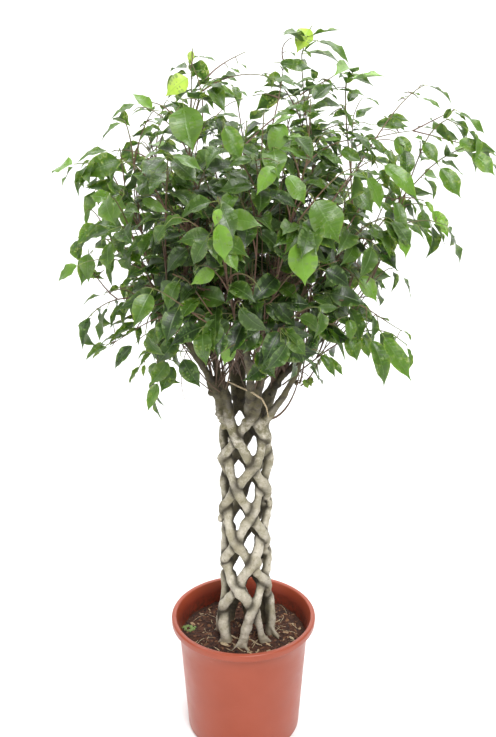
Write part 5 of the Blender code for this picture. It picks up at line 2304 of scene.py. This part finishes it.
class FIG_OT_twigs(bpy.types.Operator):
    """Draws the twigs that carry the leaves"""

    bl_idname = "fig.twigs"
    bl_label = "Twigs"

    def execute(self, context):
        lines = []
        for shoot in growth().shoots:
            path = [along(shoot["twig"], k / 16)[0] for k in range(17)]
            thick, left = FINE_TWIG * TWIG_RADIUS, TWIG_TIP_RADIUS / TWIG_RADIUS
            lines.append(twig_line(path, thick, left, 0.0, 1.0))
        for path in growth().side_twigs:
            lines.append(twig_line(path, SIDE_TWIG_RADIUS, 0.55, 0.35, 1.0))
        for number, path in enumerate(growth().inner_twigs):
            thick = 0.0008 + 0.0009 * (number % 5) / 4
            lines.append(twig_line(path, thick, 0.5, 0.10, 0.50))
        for path in growth().outer_twigs:
            lines.append(twig_line(path, SIDE_TWIG_RADIUS, 0.55, 0.30, 0.90))
        for path in growth().show_twigs:
            lines.append(twig_line(path, 0.0008, 1.0, 0.5, 1.0))
        for thick, controls in zip(BARE_RADII, BARE_TWIGS):
            path = curve([Vector(place) for place in controls], 8)
            lines.append(twig_line(path, thick, 0.5, 0.2, 0.2))
        piece = twig_piece("twigs", lines, twig_finish())
        settle(piece)
        return {"FINISHED"}


# The dry twig: pixels across and down, depth and radius
DRY_TWIG = (
    (227.5, 381, -0.050, 0.0008),
    (238, 386, -0.058, 0.0014),
    (252.5, 392.5, -0.062, 0.0017),
    (262, 399, -0.060, 0.0015),
    (266.5, 408, -0.057, 0.0013),
    (268.5, 417, -0.054, 0.0009),
)


class FIG_OT_dry_twig(bpy.types.Operator):
    """Lays a pale dry twig across the top of the weave"""

    bl_idname = "fig.dry_twig"
    bl_label = "Dry twig"

    def execute(self, context):
        path, radii = seen_wood(DRY_TWIG)
        piece = twig_piece("dry_twig", [(path, radii, [0.0] * len(path))], dry_twig_finish())
        settle(piece)
        return {"FINISHED"}


# The stage


# The floor and the backdrop as seen from the side, and their half width
BACKDROP = ((-3.0, 0.0), (2.2, 0.0), (2.8, 0.12), (3.2, 0.5), (3.35, 1.1), (3.4, 5.0))
BACKDROP_HALF = 6.0

# The lamps: name, place, aim, size, and power beside the key light's
LAMPS = (
    ("key_lamp", (0.9, -2.5, 3.0), (0.0, 0.0, 0.8), (1.6, 1.6), 1.0),
    ("fill_lamp", (-2.6, -1.8, 1.7), (0.0, 0.0, 0.6), (2.0, 2.0), 0.25),
    ("backdrop_lamp", (0.0, 1.2, 3.6), (0.0, 3.0, 0.4), (4.0, 1.2), 1.3),
)


def soft_lamp(name, place, aim, size, power):
    lamp = bpy.data.lights.new(name, "AREA")
    lamp.shape = "RECTANGLE"
    lamp.size, lamp.size_y = size
    lamp.energy = power
    made = bpy.data.objects.new(name, lamp)
    made.location = place
    made.rotation_euler = (Vector(aim) - Vector(place)).to_track_quat("-Z", "Y").to_euler()
    bpy.context.scene.collection.objects.link(made)


class FIG_OT_stage(bpy.types.Operator):
    """Sets a pale floor and backdrop, soft lamps and the camera"""

    bl_idname = "fig.stage"
    bl_label = "Stage"

    def execute(self, context):
        settings = context.scene.fig.stage
        points = [(x, y, z) for y, z in BACKDROP for x in (-BACKDROP_HALF, BACKDROP_HALF)]
        faces = [(2 * k, 2 * k + 1, 2 * k + 3, 2 * k + 2) for k in range(len(BACKDROP) - 1)]
        floor = mesh_piece("studio_floor", points, faces)
        floor.data.shade_smooth()
        floor.data.materials.append(stage_finish(settings.floor))
        floor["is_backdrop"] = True
        for *lamp, share in LAMPS:
            soft_lamp(*lamp, share * settings.key)
        scene = context.scene
        world = bpy.data.worlds.new("studio_light")
        world.use_nodes = True
        sky = world.node_tree.nodes["Background"]
        sky.inputs["Color"].default_value = (1.0, 1.0, 1.0, 1.0)
        sky.inputs["Strength"].default_value = settings.sky
        scene.world = world
        scene.view_settings.view_transform = "Standard"
        lens = bpy.data.cameras.new("photo_camera")
        lens.sensor_fit = "AUTO"
        lens.sensor_width = CAMERA_SENSOR
        lens.lens = CAMERA_LENS
        camera = bpy.data.objects.new("photo_camera", lens)
        camera.location = CAMERA_PLACE
        camera.rotation_euler = (math.pi / 2 - CAMERA_DOWN, 0.0, 0.0)
        scene.collection.objects.link(camera)
        scene.camera = camera
        return {"FINISHED"}


class FIG_PT_panel(bpy.types.Panel):
    bl_label = "Potted weeping fig"
    bl_idname = "FIG_PT_panel"
    bl_space_type = "VIEW_3D"
    bl_region_type = "UI"
    bl_category = "Fig"

    def draw(self, context):
        for step in STEPS:
            self.layout.operator(step.bl_idname)


STEPS = (
    FIG_OT_pot,
    FIG_OT_mix,
    FIG_OT_litter,
    FIG_OT_trunk,
    FIG_OT_twigs,
    FIG_OT_leaves,
    FIG_OT_dry_twig,
    FIG_OT_stage,
)

CLASSES = (
    FigPotSettings,
    FigMixSettings,
    FigTrunkSettings,
    FigCrownSettings,
    FigStageSettings,
    FigSettings,
    *STEPS,
    FIG_PT_panel,
)


def register():
    for kind in CLASSES:
        bpy.utils.register_class(kind)
    bpy.types.Scene.fig = PointerProperty(type=FigSettings)


def unregister():
    del bpy.types.Scene.fig
    for kind in reversed(CLASSES):
        bpy.utils.unregister_class(kind)


def main():
    register()
    bpy.ops.fig.pot()
    bpy.ops.fig.mix()
    bpy.ops.fig.litter()
    bpy.ops.fig.trunk()
    bpy.ops.fig.twigs()
    bpy.ops.fig.leaves()
    bpy.ops.fig.dry_twig()
    bpy.ops.fig.stage()
    sizes = {
        "cad": [list(CAD_LOW), list(CAD_HIGH)],
        "visual": [list(corner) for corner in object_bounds()],
    }


if __name__ == "__main__":
    main()
